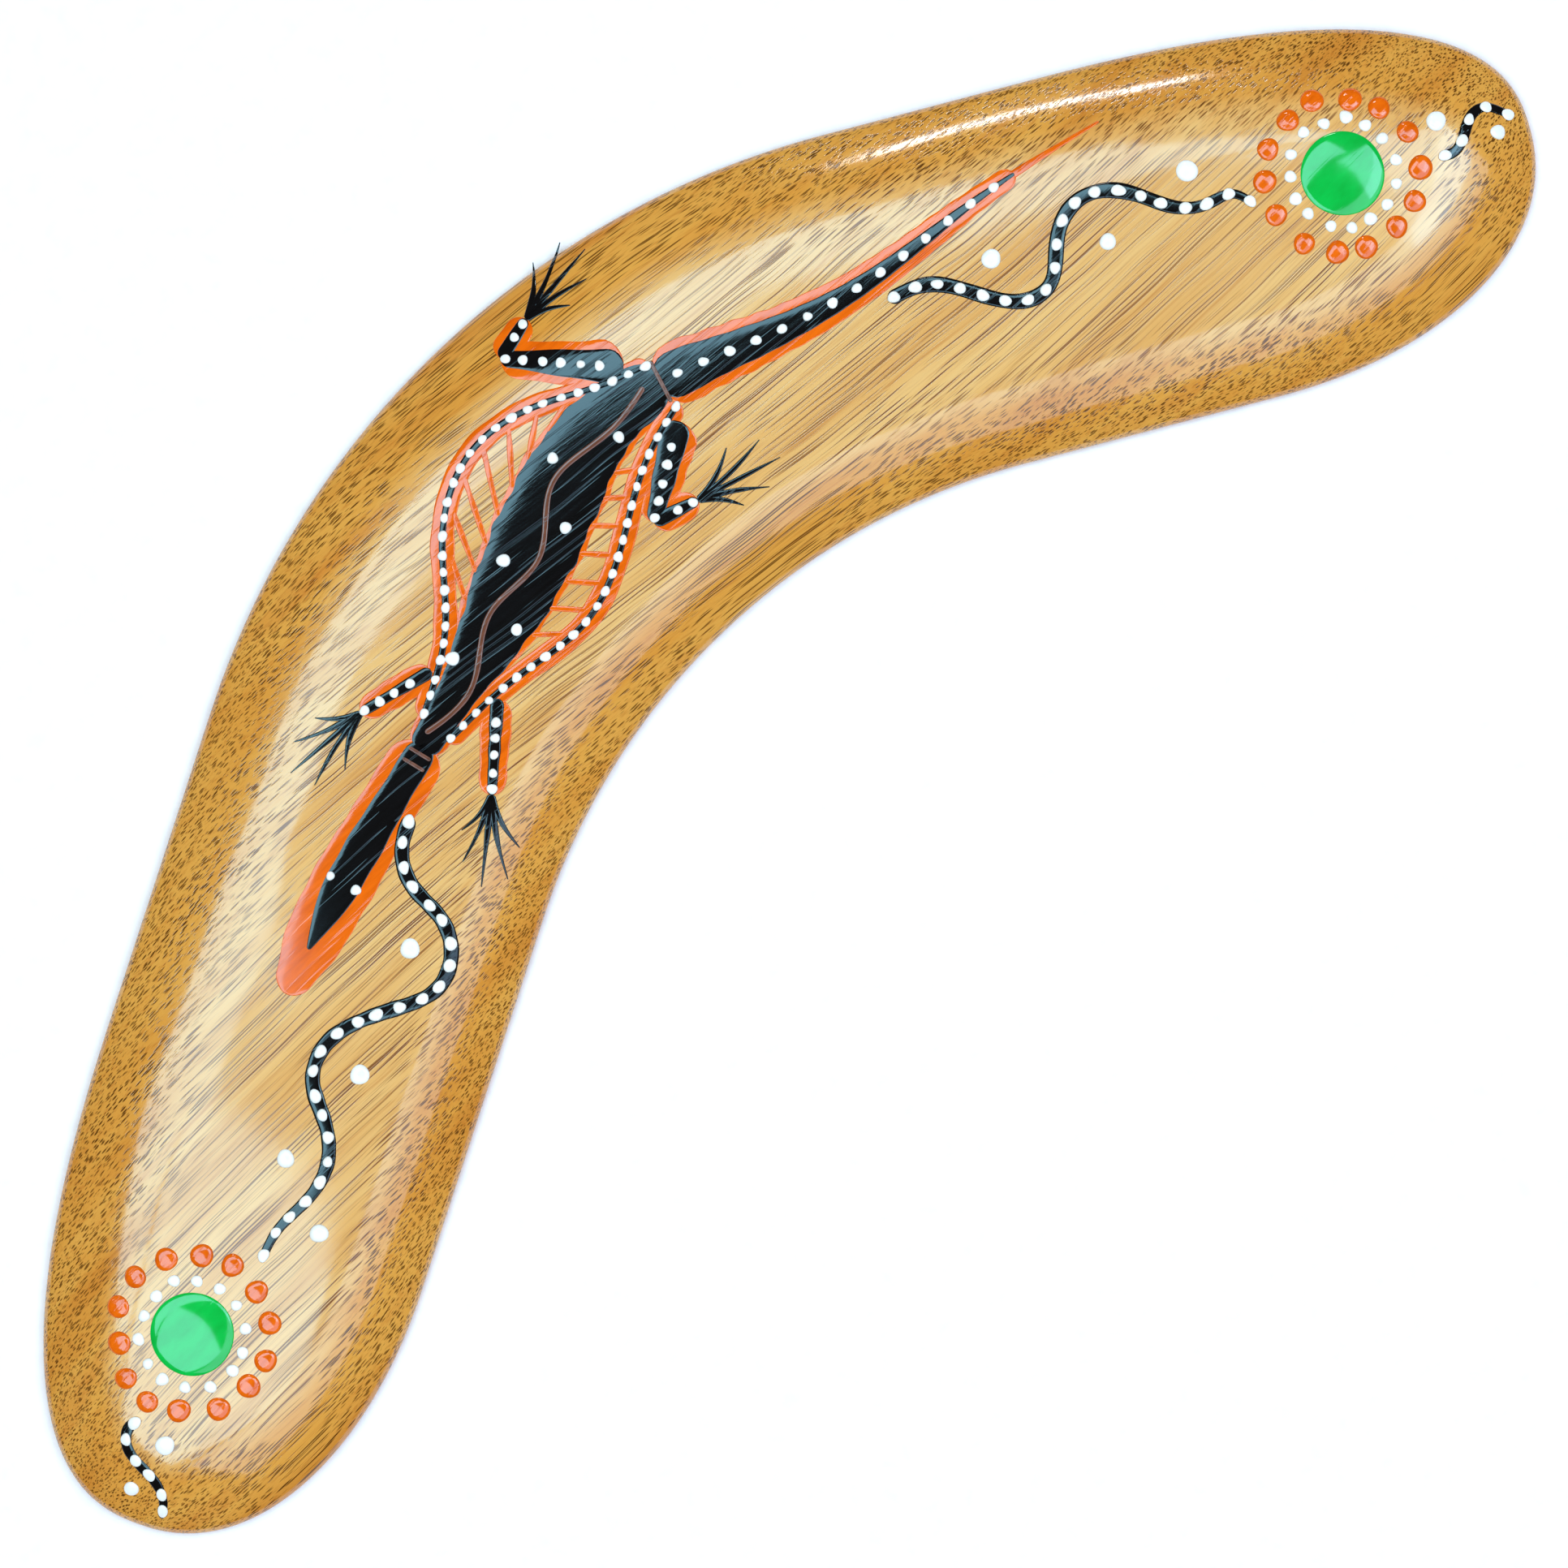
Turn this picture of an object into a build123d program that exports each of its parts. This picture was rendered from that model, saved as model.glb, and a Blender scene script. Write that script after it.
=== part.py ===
from build123d import *
from math import asin, cos, degrees, pi, radians, sin
import os

# A hand-painted hardwood boomerang: one solid blank with two arms, carrying dried
# coats of paint (thin films) and raised blobs of paint left by a dotting stick.
# Millimetres. The blank is drawn about the crossing of its two arm centrelines and
# moved at the end, so that the origin is under the middle of its box: +X runs from tip
# to tip, +Y towards the outside of the elbow, +Z up out of the painted face.

# ---- blank, in plan -------------------------------------------------------
left_arm_slope = 26.4            # degrees below the tip-to-tip line
right_arm_slope = 30.7
left_arm_length = 180.6          # crossing of the centrelines to the nose
right_arm_length = 160.2
left_outer_half_width = 29.2     # centreline to the outer edge of the elbow's side
left_inner_half_width = 28.8
right_outer_half_width = 27.0
right_inner_half_width = 29.3
nose_outer_length = 73.5         # length over which an arm rounds off to its nose
nose_inner_length = 47.5
nose_outer_exponent = 2.5        # 2 is an ellipse, more is squarer
nose_inner_exponent = 2.1
elbow_outer_radius = 134.0
elbow_inner_radius = 105.0

# ---- blank, in section ----------------------------------------------------
blank_thickness = 8.5
rim_height = 2.8                 # upright edge all round, under the bevel
edge_round = 0.9
outer_bevel = 20.0               # width of the rounded bevel on each edge
inner_bevel = 14.0
nose_bevel = 18.0
bevel_exponent = 2.2             # 2 is a parabola, more is flatter on top
bevel_levels = (0.0, 0.1, 0.22, 0.38, 0.6, 1.0)   # where the bevel is cut into facets

# ---- coats and blobs of paint ---------------------------------------------
base_coat = 0.12                 # orange, on the wood
second_coat = 0.22               # black, over orange and wood
third_coat = 0.30                # brown lines, over black

disc_radius = 6.35               # green disc at the middle of each ring
disc_rise = 0.55
white_blob_radius = 0.95
white_blob_rise = 0.38
orange_blob_radius = 1.75
orange_blob_rise = 0.45
disc_to_white_gap = 0.8
white_to_orange_gap = 1.0
orange_blob_count = 14
white_blob_counts = {"left": 14, "right": 15}

disc_setbacks = {"left": 31.0, "right": 30.3}    # nose to the disc's centre, along the arm
disc_offsets = {"left": 1.9, "right": 0.5}       # outwards of the arm's centreline

track_half_width = 1.2           # wavy black line, at its widest
track_end_half_width = 0.6
tip_track_half_width = 0.85
track_blob_radius = 0.85
track_blob_rise = 0.35
track_blob_pitch = 3.5
tip_blob_pitch = 3.3
track_to_ring_gap = 0.5
track_starts = {"left": 65.0, "right": 58.7}     # crossing of the centrelines to the track
loose_blob_rise = 0.5

# ---- lizard, measured from the middle of the elbow --------------------------
outline_margin = 1.25            # orange showing all round the black
head_margin = 1.9
body_margin = 0.5                # inside the flanks, whose borders carry the outline
border_half_width = 0.55         # dotted line round each flank
border_blob_radius = 0.68
border_blob_rise = 0.32
border_blob_pitch = 2.75
back_blob_radius = 0.95
back_blob_offset = 3.2           # to either side of the spine in turn
back_blob_shares = (0.2, 0.33, 0.46, 0.59, 0.72, 0.85)    # of the body's length
tail_blob_radius = 0.75
tail_blob_pitch = 4.3
tail_blob_margin = 0.02          # share of the spine left bare at each end of the tail's dots
eye_offset = 2.2
leg_blob_radius = 0.7
leg_blob_pitch = 2.7
hatch_half_width = 0.4
hatch_count = 7
hatch_roots = (0.3, 0.8)         # where hatching starts and stops along the body
hatch_feet = (0.36, 0.86)        # and along the border
line_half_width = 0.42           # brown line along the back
line_swing = 1.5                 # how far it waves to either side of the spine
line_bends = 6
line_margin = 0.05               # share of the line left out at each end
band_half_width = 0.35           # brown bands across the neck and the hips
toe_half_width = 0.4
toe_tip_half_width = 0.08
toe_spread = 17.0                # degrees from one toe to the next
toe_lengths = (7, 11, 14, 13, 9)
stroke_step = 3.0                # spacing of the stations that shape a brush stroke


# ---- plan geometry ----------------------------------------------------------
class Arm:
    """One arm: its direction away from the elbow and its outward normal, in plan."""

    def __init__(self, slope, side, length, outer, inner):
        angle = radians(slope)
        self.out = Vector(side * cos(angle), -sin(angle))
        self.normal = Vector(side * sin(angle), cos(angle))
        self.length = length
        self.outer = outer
        self.inner = inner

    def at(self, distance, offset):
        """Point at a distance from the crossing and an offset outwards of the centreline."""
        return self.out * distance + self.normal * offset

    def quarter(self, level, outer):
        """Superelliptic quarter that rounds the arm off, from its shoulder to its nose."""
        bevel = outer_bevel if outer else inner_bevel
        half_width = (self.outer if outer else self.inner) - level * bevel
        exponent = 2 / (nose_outer_exponent if outer else nose_inner_exponent)
        run = (nose_outer_length if outer else nose_inner_length) - level * nose_bevel
        shoulder = self.length - level * nose_bevel - run
        sign = 1 if outer else -1
        steps = 6
        points = []
        for i in range(steps + 1):
            turn = pi / 2 * (1 - i / steps)
            forward = abs(cos(turn)) ** exponent * run if i else 0
            across = abs(sin(turn)) ** exponent * half_width if i < steps else 0
            points.append(self.at(shoulder + forward, sign * across))
        shares = [i / steps for i in range(steps + 1)]
        ends = [self.out, self.normal * -sign]
        return Edge.make_spline(points, tangents=ends, parameters=shares)


left = Arm(left_arm_slope, -1, left_arm_length, left_outer_half_width, left_inner_half_width)
right = Arm(right_arm_slope, 1, right_arm_length, right_outer_half_width, right_inner_half_width)
arms = {"left": left, "right": right}
half_turn = radians(left_arm_slope + right_arm_slope) / 2
elbow_axis = (left.normal + right.normal).normalized()


def elbow_corner(left_offset, right_offset):
    """Where the two arms' straight edges would meet if the elbow were not rounded."""
    det = left.normal.X * right.normal.Y - left.normal.Y * right.normal.X
    x = (left_offset * right.normal.Y - right_offset * left.normal.Y) / det
    y = (right_offset * left.normal.X - left_offset * right.normal.X) / det
    return Vector(x, y)


def elbow_centre(corner, radius):
    """Centre of the arc that rounds a corner of the elbow."""
    return corner - elbow_axis * (radius / cos(half_turn))


outer_corner = elbow_corner(left.outer, right.outer)
inner_corner = elbow_corner(-left.inner, -right.inner)
outer_centre = elbow_centre(outer_corner, elbow_outer_radius)
inner_centre = elbow_centre(inner_corner, elbow_inner_radius)
outer_apex = outer_centre + elbow_axis * elbow_outer_radius
inner_apex = inner_centre + elbow_axis * elbow_inner_radius
elbow_middle = (outer_apex + inner_apex) * 0.5


def contour(level):
    """Closed outline at a level of the bevel: 0 is the blank's edge, 1 the edge of its flat top."""
    outer_radius = elbow_outer_radius - level * outer_bevel
    inner_radius = elbow_inner_radius + level * inner_bevel
    outer_left = outer_centre + left.normal * outer_radius
    outer_right = outer_centre + right.normal * outer_radius
    inner_left = inner_centre + left.normal * inner_radius
    inner_right = inner_centre + right.normal * inner_radius
    quarters = {}
    for arm in (left, right):
        for outer in (True, False):
            quarters[arm, outer] = arm.quarter(level, outer)
    edges = [
        quarters[right, True],
        Line(quarters[right, True] @ 0, outer_right),
        ThreePointArc(outer_right, outer_centre + elbow_axis * outer_radius, outer_left),
        Line(outer_left, quarters[left, True] @ 0),
        quarters[left, True],
        quarters[left, False],
        Line(quarters[left, False] @ 0, inner_left),
        ThreePointArc(inner_left, inner_centre + elbow_axis * inner_radius, inner_right),
        Line(inner_right, quarters[right, False] @ 0),
        quarters[right, False],
    ]
    return Face(Wire([edge.edge() for edge in edges]))


def bevel_height(level):
    """Height of the rounded bevel above the base, from the rim up to the flat top."""
    return rim_height + (blank_thickness - rim_height) * (1 - (1 - level) ** bevel_exponent)


def make_blank():
    """The wood: an upright rim and a bevel cut in facets, up to the flat painted face."""
    sections = [contour(0)]
    sections += [Pos(0, 0, bevel_height(level)) * contour(level) for level in bevel_levels]
    body = loft(sections, ruled=True)
    body = fillet(body.edges().group_by(Axis.Z)[0], edge_round)
    rim_edges = [edge for edge in body.edges() if abs(edge.center().Z - rim_height) < 0.01]
    return fillet(rim_edges, edge_round).solid()


# ---- paint ------------------------------------------------------------------
blank = make_blank()
PAINT_REACH = blank_thickness + 5    # height of the columns that the films are cut from
SMALLEST_FILM = 0.01                 # cubic mm; anything less is a shaving off a brush stroke
foot_points = 8                      # points round a drop's foot that must clear the face


def surface_at(point):
    """Point on the painted face under a plan point, with the face's outward normal."""
    ray = Axis((point.X, point.Y, PAINT_REACH), (0, 0, -1))
    hits = blank.find_intersection_points(ray)
    return max(hits, key=lambda hit: hit[0].Z)


def coat(shape, top, bottom=0.0):
    """Film of paint: a plan shape laid on the wood, or on a coat that is already there."""
    column = extrude(shape, PAINT_REACH, dir=(0, 0, 1))
    film = (column & (Pos(0, 0, top) * blank)) - (Pos(0, 0, bottom) * blank)
    return Compound([solid for solid in film.solids() if solid.volume > SMALLEST_FILM])


def ring(centre, radius, count, turn):
    """Points evenly spaced about a centre, the first at a turn in degrees."""
    angles = [radians(turn + 360 * i / count) for i in range(count)]
    return [centre + Vector(radius * cos(angle), radius * sin(angle)) for angle in angles]


def blob(point, radius, rise, lift=0.0):
    """Domed drop of paint on the painted face, or on a coat of the given thickness.

    It sits on the face's tangent plane, raised where its foot would dip into a hollow.
    """
    place, normal = surface_at(point)
    foot = [surface_at(spot)[0] for spot in ring(point, radius, foot_points, 0)]
    dip = max(0.0, *[(spot - place).dot(normal) for spot in foot])
    ball = (radius ** 2 + rise ** 2) / (2 * rise)
    latitude = degrees(asin((ball - rise) / ball))
    drop = Pos(0, 0, rise - ball) * Sphere(ball, arc_size1=latitude, arc_size2=90, align=None)
    seat = Plane(origin=place + normal * dip + Vector(0, 0, lift), z_dir=normal)
    return (seat.location * drop).solid()


def blobs(points, radius, rise, lift=0.0):
    """Group of equal drops."""
    return Compound([blob(point, radius, rise, lift) for point in points])


def width_at(widths, share):
    """Half-width at a share of a stroke's length, straight between the given values."""
    place = share * (len(widths) - 1)
    index = min(int(place), len(widths) - 2)
    return widths[index] + (widths[index + 1] - widths[index]) * (place - index)


def side_point(path, share, half_width):
    """Point beside a path, at right angles to it."""
    tangent = path % share
    return (path @ share) + Vector(-tangent.Y, tangent.X) * half_width


def stroke(path, widths, first=0.0, last=1.0):
    """Brush stroke in plan: part of a path given a varying half-width and rounded ends."""
    steps = max(2, round(path.length * (last - first) / stroke_step))
    shares = [first + (last - first) * i / steps for i in range(steps + 1)]
    half_widths = [width_at(widths, i / steps) for i in range(steps + 1)]
    port = [side_point(path, share, width) for share, width in zip(shares, half_widths)]
    starboard = [side_point(path, share, -width) for share, width in zip(shares, half_widths)]
    head = (path @ first) - (path % first) * widths[0]
    tail = (path @ last) + (path % last) * widths[-1]
    edges = [
        Spline(port),
        ThreePointArc(port[-1], tail, starboard[-1]),
        Spline(starboard[::-1]),
        ThreePointArc(starboard[0], head, port[0]),
    ]
    return Face(Wire([edge.edge() for edge in edges]))


def spaced(path, pitch, start=0.0, end=0.0):
    """Points along a path about one pitch apart, leaving a margin at each end."""
    length = path.length - start - end
    count = max(1, round(length / pitch))
    return [path @ ((start + length * i / count) / path.length) for i in range(count + 1)]


nodes = {"wood_blank": blank}


# ---- discs and rings near the noses -------------------------------------------
white_ring_radius = disc_radius + disc_to_white_gap + white_blob_radius
orange_ring_radius = white_ring_radius + white_blob_radius + white_to_orange_gap + orange_blob_radius
for side, arm in arms.items():
    centre = arm.at(arm.length - disc_setbacks[side], disc_offsets[side])
    whites = ring(centre, white_ring_radius, white_blob_counts[side], 90)
    oranges = ring(centre, orange_ring_radius, orange_blob_count, 90)
    nodes[f"green_disc_{side}"] = blobs([centre], disc_radius, disc_rise)
    nodes[f"white_ring_{side}"] = blobs(whites, white_blob_radius, white_blob_rise)
    nodes[f"orange_ring_{side}"] = blobs(oranges, orange_blob_radius, orange_blob_rise)


# ---- wavy dotted tracks -------------------------------------------------------
ring_reach = orange_ring_radius + orange_blob_radius + track_to_ring_gap
inner_runs = {                   # share of the way from the lizard to the ring, and offset
    "left": [(0, -5.2), (0.07, -5.4), (0.14, -8.6), (0.19, -14.5), (0.25, -17.4), (0.33, -17.2),
             (0.4, -12.2), (0.46, -6.8), (0.52, -3.7), (0.6, -3.4), (0.68, -7.2), (0.76, -9.5),
             (0.85, -8.3), (0.93, -5.5), (1, -4.6)],
    "right": [(0, -0.5), (0.11, 0.3), (0.18, -1.2), (0.28, -4.6), (0.37, -5.8), (0.42, -4.6),
              (0.46, 0.0), (0.5, 4.6), (0.56, 7.0), (0.63, 7.2), (0.71, 5.2), (0.79, 2.2),
              (0.88, 1.3), (0.95, 1.8), (1, -0.6)],
}
tip_runs = {                     # distance beyond the ring's reach, and offset
    "left": [(0.9, 5.4), (2.3, 6.6), (5.1, 6.2), (7.1, 4.0), (9.2, 0.5), (11.9, -1.6), (14.6, -2.0)],
    "right": [(0.7, -0.7), (2.9, -0.7), (5.1, 1.2), (7.3, 4.2), (9.3, 5.0), (11.5, 4.2), (13.7, 2.6)],
}
loose_runs = {                   # share of the way, offset and radius of each loose drop
    "left": [(0.27, -11.3, 1.6), (0.56, -10.0, 1.5), (0.78, -3.3, 1.35), (0.91, -11.6, 1.4)],
    "right": [(0.29, 1.6, 1.55), (0.6, -0.4, 1.4), (0.85, 6.9, 1.65)],
}
loose_tips = {                   # distance beyond the ring's reach, offset and radius
    "left": [(3.3, 0.6, 1.55), (11.5, 3.6, 1.1)],
    "right": [(1.7, 4.6, 1.5), (10.7, 0.8, 1.2)],
}
inner_widths = [track_half_width] * 4 + [track_end_half_width]
tip_widths = [tip_track_half_width, tip_track_half_width, track_end_half_width]
tracks = {}
for side, arm in arms.items():
    start = track_starts[side]
    reach = arm.length - disc_setbacks[side] - ring_reach - start
    beyond = arm.length - disc_setbacks[side] + ring_reach
    inner = Spline([arm.at(start + share * reach, offset) for share, offset in inner_runs[side]])
    tip = Spline([arm.at(beyond + step, offset) for step, offset in tip_runs[side]])
    tracks[f"track_{side}_inner"] = stroke(inner, inner_widths)
    tracks[f"track_{side}_tip"] = stroke(tip, tip_widths)
    for name, path, pitch in (("inner", inner, track_blob_pitch), ("tip", tip, tip_blob_pitch)):
        places = spaced(path, pitch, track_blob_radius, track_blob_radius)
        dots = blobs(places, track_blob_radius, track_blob_rise, second_coat)
        nodes[f"track_{side}_{name}_dots"] = dots
    drops = [(arm.at(start + share * reach, offset), size) for share, offset, size in loose_runs[side]]
    drops += [(arm.at(beyond + step, offset), size) for step, offset, size in loose_tips[side]]
    nodes[f"loose_dots_{side}"] = Compound([blob(spot, size, loose_blob_rise) for spot, size in drops])


# ---- lizard: a plain one, built out from a curved spine ---------------------------
def on_elbow(points):
    """Plan points measured from the middle of the elbow."""
    return [elbow_middle + Vector(x, y) for x, y in points]


spine = Spline(on_elbow([(-88, -22.6), (-76, -18.6), (-60, -14.2), (-44, -10.4), (-25, -5.6),
                         (-5, 1.2), (10, 4.4), (20, 2.4), (35, -3.8), (52, -9.1), (72, -12.1),
                         (94, -17)]))
nose_tip, snout, eyes, neck, hip, tail_end = 0.01, 0.05, 0.11, 0.24, 0.585, 0.92    # shares of it
neck_bands = (0.23, 0.22)
hip_band = 0.59
head_widths = [0.3, 2.4, 3.0, 2.8, 2.5, 2.5]
body_widths = [2.5, 3.4, 5.6, 6.8, 6.6, 5.4, 4.2]
tail_widths = [4.2, 3.3, 2.6, 2.0, 1.5, 1.1, 0.7, 0.3]
whip_widths = [0.9, 0.5, 0.2]
borders = {
    "left": Spline(on_elbow([(-42, -7.4), (-30, -0.4), (-20, 10), (-8, 15.6), (4, 13.2), (13, 8.4),
                             (20, 5.6)])),
    "right": Spline(on_elbow([(-42, -12.6), (-28, -13.2), (-14, -14.8), (-1, -9.8), (9, -4.4),
                              (19, -1.6)])),
}
legs = {                         # joints from the body outwards, with the half-width at each
    "front_left": ([(-36, -3.4), (-48, -0.2)], [1.1, 0.8]),
    "front_right": ([(-32, -13.4), (-43, -23)], [1.2, 0.8]),
    "hind_left": ([(17, 8), (5, 22.4), (12, 24)], [3.0, 1.3, 0.9]),
    "hind_right": ([(17, -3.4), (3.5, -11.6), (10.6, -14)], [2.6, 1.3, 0.9]),
}
toe_headings = {"front_left": 175, "front_right": 218, "hind_left": 5, "hind_right": -18}


def grown(widths, margin):
    """The same half-widths with a margin added all along."""
    return [width + margin for width in widths]


def on_body(share):
    """Share of the spine, from a share of the body between the neck and the hips."""
    return neck + (hip - neck) * share


def limb(points, widths, margin=0.0):
    """One or two straight strokes, joined at the knee."""
    joints = on_elbow(points)
    pairs = range(len(joints) - 1)
    return Sketch() + [
        stroke(Line(joints[i], joints[i + 1]), grown(widths[i:i + 2], margin)) for i in pairs
    ]


def toes(name):
    """Fan of tapering toes from the end of a leg."""
    wrist = on_elbow(legs[name][0])[-1]
    shape = Sketch()
    middle = (len(toe_lengths) - 1) / 2
    for i, length in enumerate(toe_lengths):
        turn = radians(toe_headings[name] + toe_spread * (i - middle))
        tip = wrist + Vector(cos(turn), sin(turn)) * length
        shape += stroke(Line(wrist, tip), [toe_half_width, toe_tip_half_width])
    return shape


def hatching(border, sign):
    """Slanting strokes across a flank, from the body to its dotted border."""
    shape = Sketch()
    for i in range(hatch_count):
        share = (i + 0.5) / hatch_count
        root = hatch_roots[0] + (hatch_roots[1] - hatch_roots[0]) * share
        foot = hatch_feet[0] + (hatch_feet[1] - hatch_feet[0]) * share
        half_width = width_at(body_widths, root)
        start = side_point(spine, on_body(root), sign * half_width)
        shape += stroke(Line(start, border @ foot), [hatch_half_width] * 2)
    return shape


head = stroke(spine, head_widths, snout, neck)
body = stroke(spine, body_widths, neck, hip) - head
tail = stroke(spine, tail_widths, hip, tail_end) - body
black = Sketch() + [head, *body.faces(), *tail.faces()]
outline = Sketch() + [
    stroke(spine, grown(head_widths, head_margin), nose_tip, neck),
    stroke(spine, grown(body_widths, body_margin), neck, hip),
    stroke(spine, grown(tail_widths, outline_margin), hip, tail_end),
    stroke(spine, whip_widths, tail_end, 1),
]
coats = {"lizard_head": head, "lizard_body": body, "lizard_tail": tail}
for name, path in borders.items():
    outline += stroke(path, grown([border_half_width] * 2, outline_margin))
    border = stroke(path, [border_half_width] * 2) - black
    coats[f"flank_border_{name}"] = border
    black += border
leg_outlines = {}
for name, (joints, widths) in legs.items():
    leg = limb(joints, widths) - black
    black += leg
    foot = toes(name) - black
    black += foot
    coats[f"leg_{name}"] = leg
    coats[f"toes_{name}"] = foot
    leg_outlines[name] = limb(joints, widths, outline_margin)
for name, shape in tracks.items():
    coats[name] = shape - black
    black += coats[name]
for name, shape in coats.items():
    nodes[name] = coat(shape, second_coat)
nodes["lizard_outline"] = coat(outline - black, base_coat)
for name, shape in leg_outlines.items():
    nodes[f"leg_outline_{name}"] = coat(shape - outline - black, base_coat)
for name, sign in (("left", 1), ("right", -1)):
    nodes[f"flank_hatching_{name}"] = coat(hatching(borders[name], sign) - outline - black, base_coat)

bends = [(on_body(i / line_bends), line_swing * (-1) ** i) for i in range(line_bends + 1)]
wave = Spline([side_point(spine, share, swing) for share, swing in bends])
line = stroke(wave, [line_half_width] * 2, line_margin, 1 - line_margin)
nodes["back_line"] = coat(line, third_coat, second_coat)


def cross_band(share, half_width):
    """Brown band straight across the lizard."""
    reach = half_width - 2 * band_half_width
    ends = Line(side_point(spine, share, reach), side_point(spine, share, -reach))
    return stroke(ends, [band_half_width] * 2)


bands = Sketch() + [cross_band(share, head_widths[-1]) for share in neck_bands]
nodes["neck_bands"] = coat(bands, third_coat, second_coat)
nodes["hip_band"] = coat(cross_band(hip_band, tail_widths[0]), third_coat, second_coat)

for name, path in borders.items():
    places = spaced(path, border_blob_pitch, border_blob_radius, border_blob_radius)
    nodes[f"border_dots_{name}"] = blobs(places, border_blob_radius, border_blob_rise, second_coat)
for name, (joints, widths) in legs.items():
    path = Polyline(on_elbow(joints))
    places = spaced(path, leg_blob_pitch, 2 * leg_blob_pitch, leg_blob_radius)
    nodes[f"leg_dots_{name}"] = blobs(places, leg_blob_radius, border_blob_rise, second_coat)
sides = [(on_body(share), back_blob_offset * (-1) ** i) for i, share in enumerate(back_blob_shares)]
back_places = [side_point(spine, share, offset) for share, offset in sides]
nodes["back_dots"] = blobs(back_places, back_blob_radius, white_blob_rise, second_coat)
tail_run = tail_end - hip - 2 * tail_blob_margin
tail_count = round(spine.length * tail_run / tail_blob_pitch)
tail_places = [spine @ (hip + tail_blob_margin + tail_run * i / tail_count) for i in range(tail_count + 1)]
nodes["tail_dots"] = blobs(tail_places, tail_blob_radius, border_blob_rise, second_coat)
eye_places = [side_point(spine, eyes, offset) for offset in (eye_offset, -eye_offset)]
nodes["eye_dots"] = blobs(eye_places, tail_blob_radius, white_blob_rise, second_coat)


# ---- write the parts ----------------------------------------------------------
box = blank.bounding_box()
to_origin = Pos(-(box.min.X + box.max.X) / 2, -(box.min.Y + box.max.Y) / 2, -box.min.Z)
os.makedirs("parts", exist_ok=True)
for name, shape in nodes.items():
    solids = shape.solids()
    print(name, len(solids), "solids,", round(sum(solid.volume for solid in solids), 2), "cubic mm")
    placed = to_origin * (solids[0] if len(solids) == 1 else Compound(solids))
    export_step(placed, f"parts/{name}.step")
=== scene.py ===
from collections import namedtuple
from math import cos, pi, radians, sin, tan

import bpy
import numpy as np
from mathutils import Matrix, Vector


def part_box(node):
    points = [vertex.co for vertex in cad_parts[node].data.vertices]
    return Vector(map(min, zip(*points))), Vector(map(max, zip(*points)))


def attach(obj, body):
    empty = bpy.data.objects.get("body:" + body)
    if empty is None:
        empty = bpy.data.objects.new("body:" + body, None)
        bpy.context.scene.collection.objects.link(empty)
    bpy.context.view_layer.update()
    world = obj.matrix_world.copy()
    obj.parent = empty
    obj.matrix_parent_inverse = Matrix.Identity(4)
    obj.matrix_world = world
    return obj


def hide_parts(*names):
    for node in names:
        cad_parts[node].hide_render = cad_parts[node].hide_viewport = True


bl_info = {
    "name": "Painted boomerang",
    "version": (1, 0, 0),
    "blender": (4, 5, 0),
    "location": "3D View > Sidebar > Boomerang",
    "description": "Builds a lacquered, hand-painted hardwood boomerang round its CAD frame",
    "category": "Add Mesh",
}

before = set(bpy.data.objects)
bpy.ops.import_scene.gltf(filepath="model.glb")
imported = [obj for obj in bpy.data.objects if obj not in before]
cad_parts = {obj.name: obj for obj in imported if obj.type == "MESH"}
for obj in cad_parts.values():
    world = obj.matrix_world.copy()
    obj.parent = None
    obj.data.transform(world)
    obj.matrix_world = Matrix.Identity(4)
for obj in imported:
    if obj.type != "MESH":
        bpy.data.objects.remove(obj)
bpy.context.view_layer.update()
MM = 0.001

# ---- the blank, in plan (millimetres and degrees, as in the CAD) -----------------
LEFT_SLOPE, RIGHT_SLOPE = 26.4, 30.7
LEFT_LENGTH, RIGHT_LENGTH = 180.6, 160.2
LEFT_OUTER, LEFT_INNER = 29.2, 28.8
RIGHT_OUTER, RIGHT_INNER = 27.0, 29.3
NOSE_RUN = {"outer": 73.5, "inner": 47.5}
NOSE_EXPONENT = {"outer": 2.5, "inner": 2.1}
BEVEL = {"outer": 20.0, "inner": 14.0}
NOSE_BEVEL = 18.0
ELBOW_OUTER, ELBOW_INNER = 134.0, 105.0

# ---- the blank, in section --------------------------------------------------------
wood_low, wood_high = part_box("wood_blank")
THICKNESS = (wood_high.z - wood_low.z) / MM
RIM_HEIGHT = 2.8
EDGE_ROUND = 1.1
BEVEL_EXPONENT = 2.2
CROWN_LEVEL = 1.45               # level at which the crown is level

# ---- coats of paint ---------------------------------------------------------------
ORANGE_COAT = 0.09
HATCH_COAT = 0.081
LEG_OUTLINE_COAT = 0.0855
BLACK_COAT = 0.16
LEG_COAT = 0.1552
TOE_COAT = 0.128
BROWN_COAT = 0.22
SUNK = 0.06                      # how far a stroke's or drop's underside lies in the wood


# ---- seeds, one for each thing that a hand does unevenly ----------------------------
SEEDS = {
    "sanding": 11, "disc": 20, "ring_places": 40, "white_ring": 50, "orange_ring": 60,
    "track_places": 70, "track": 80, "track_dots": 90, "loose_dots": 100, "outline": 110,
    "border_outline": 120, "body": 130, "border": 140, "hatching": 150, "border_places": 170,
    "border_dots": 180, "leg_outline": 200, "leg": 240, "toes": 280, "leg_places": 320,
    "leg_dots": 340, "back_line": 400, "neck_bands": 410, "hip_band": 420, "back_dots": 430,
    "tail_dots": 440, "eye_dots": 450,
}

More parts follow.
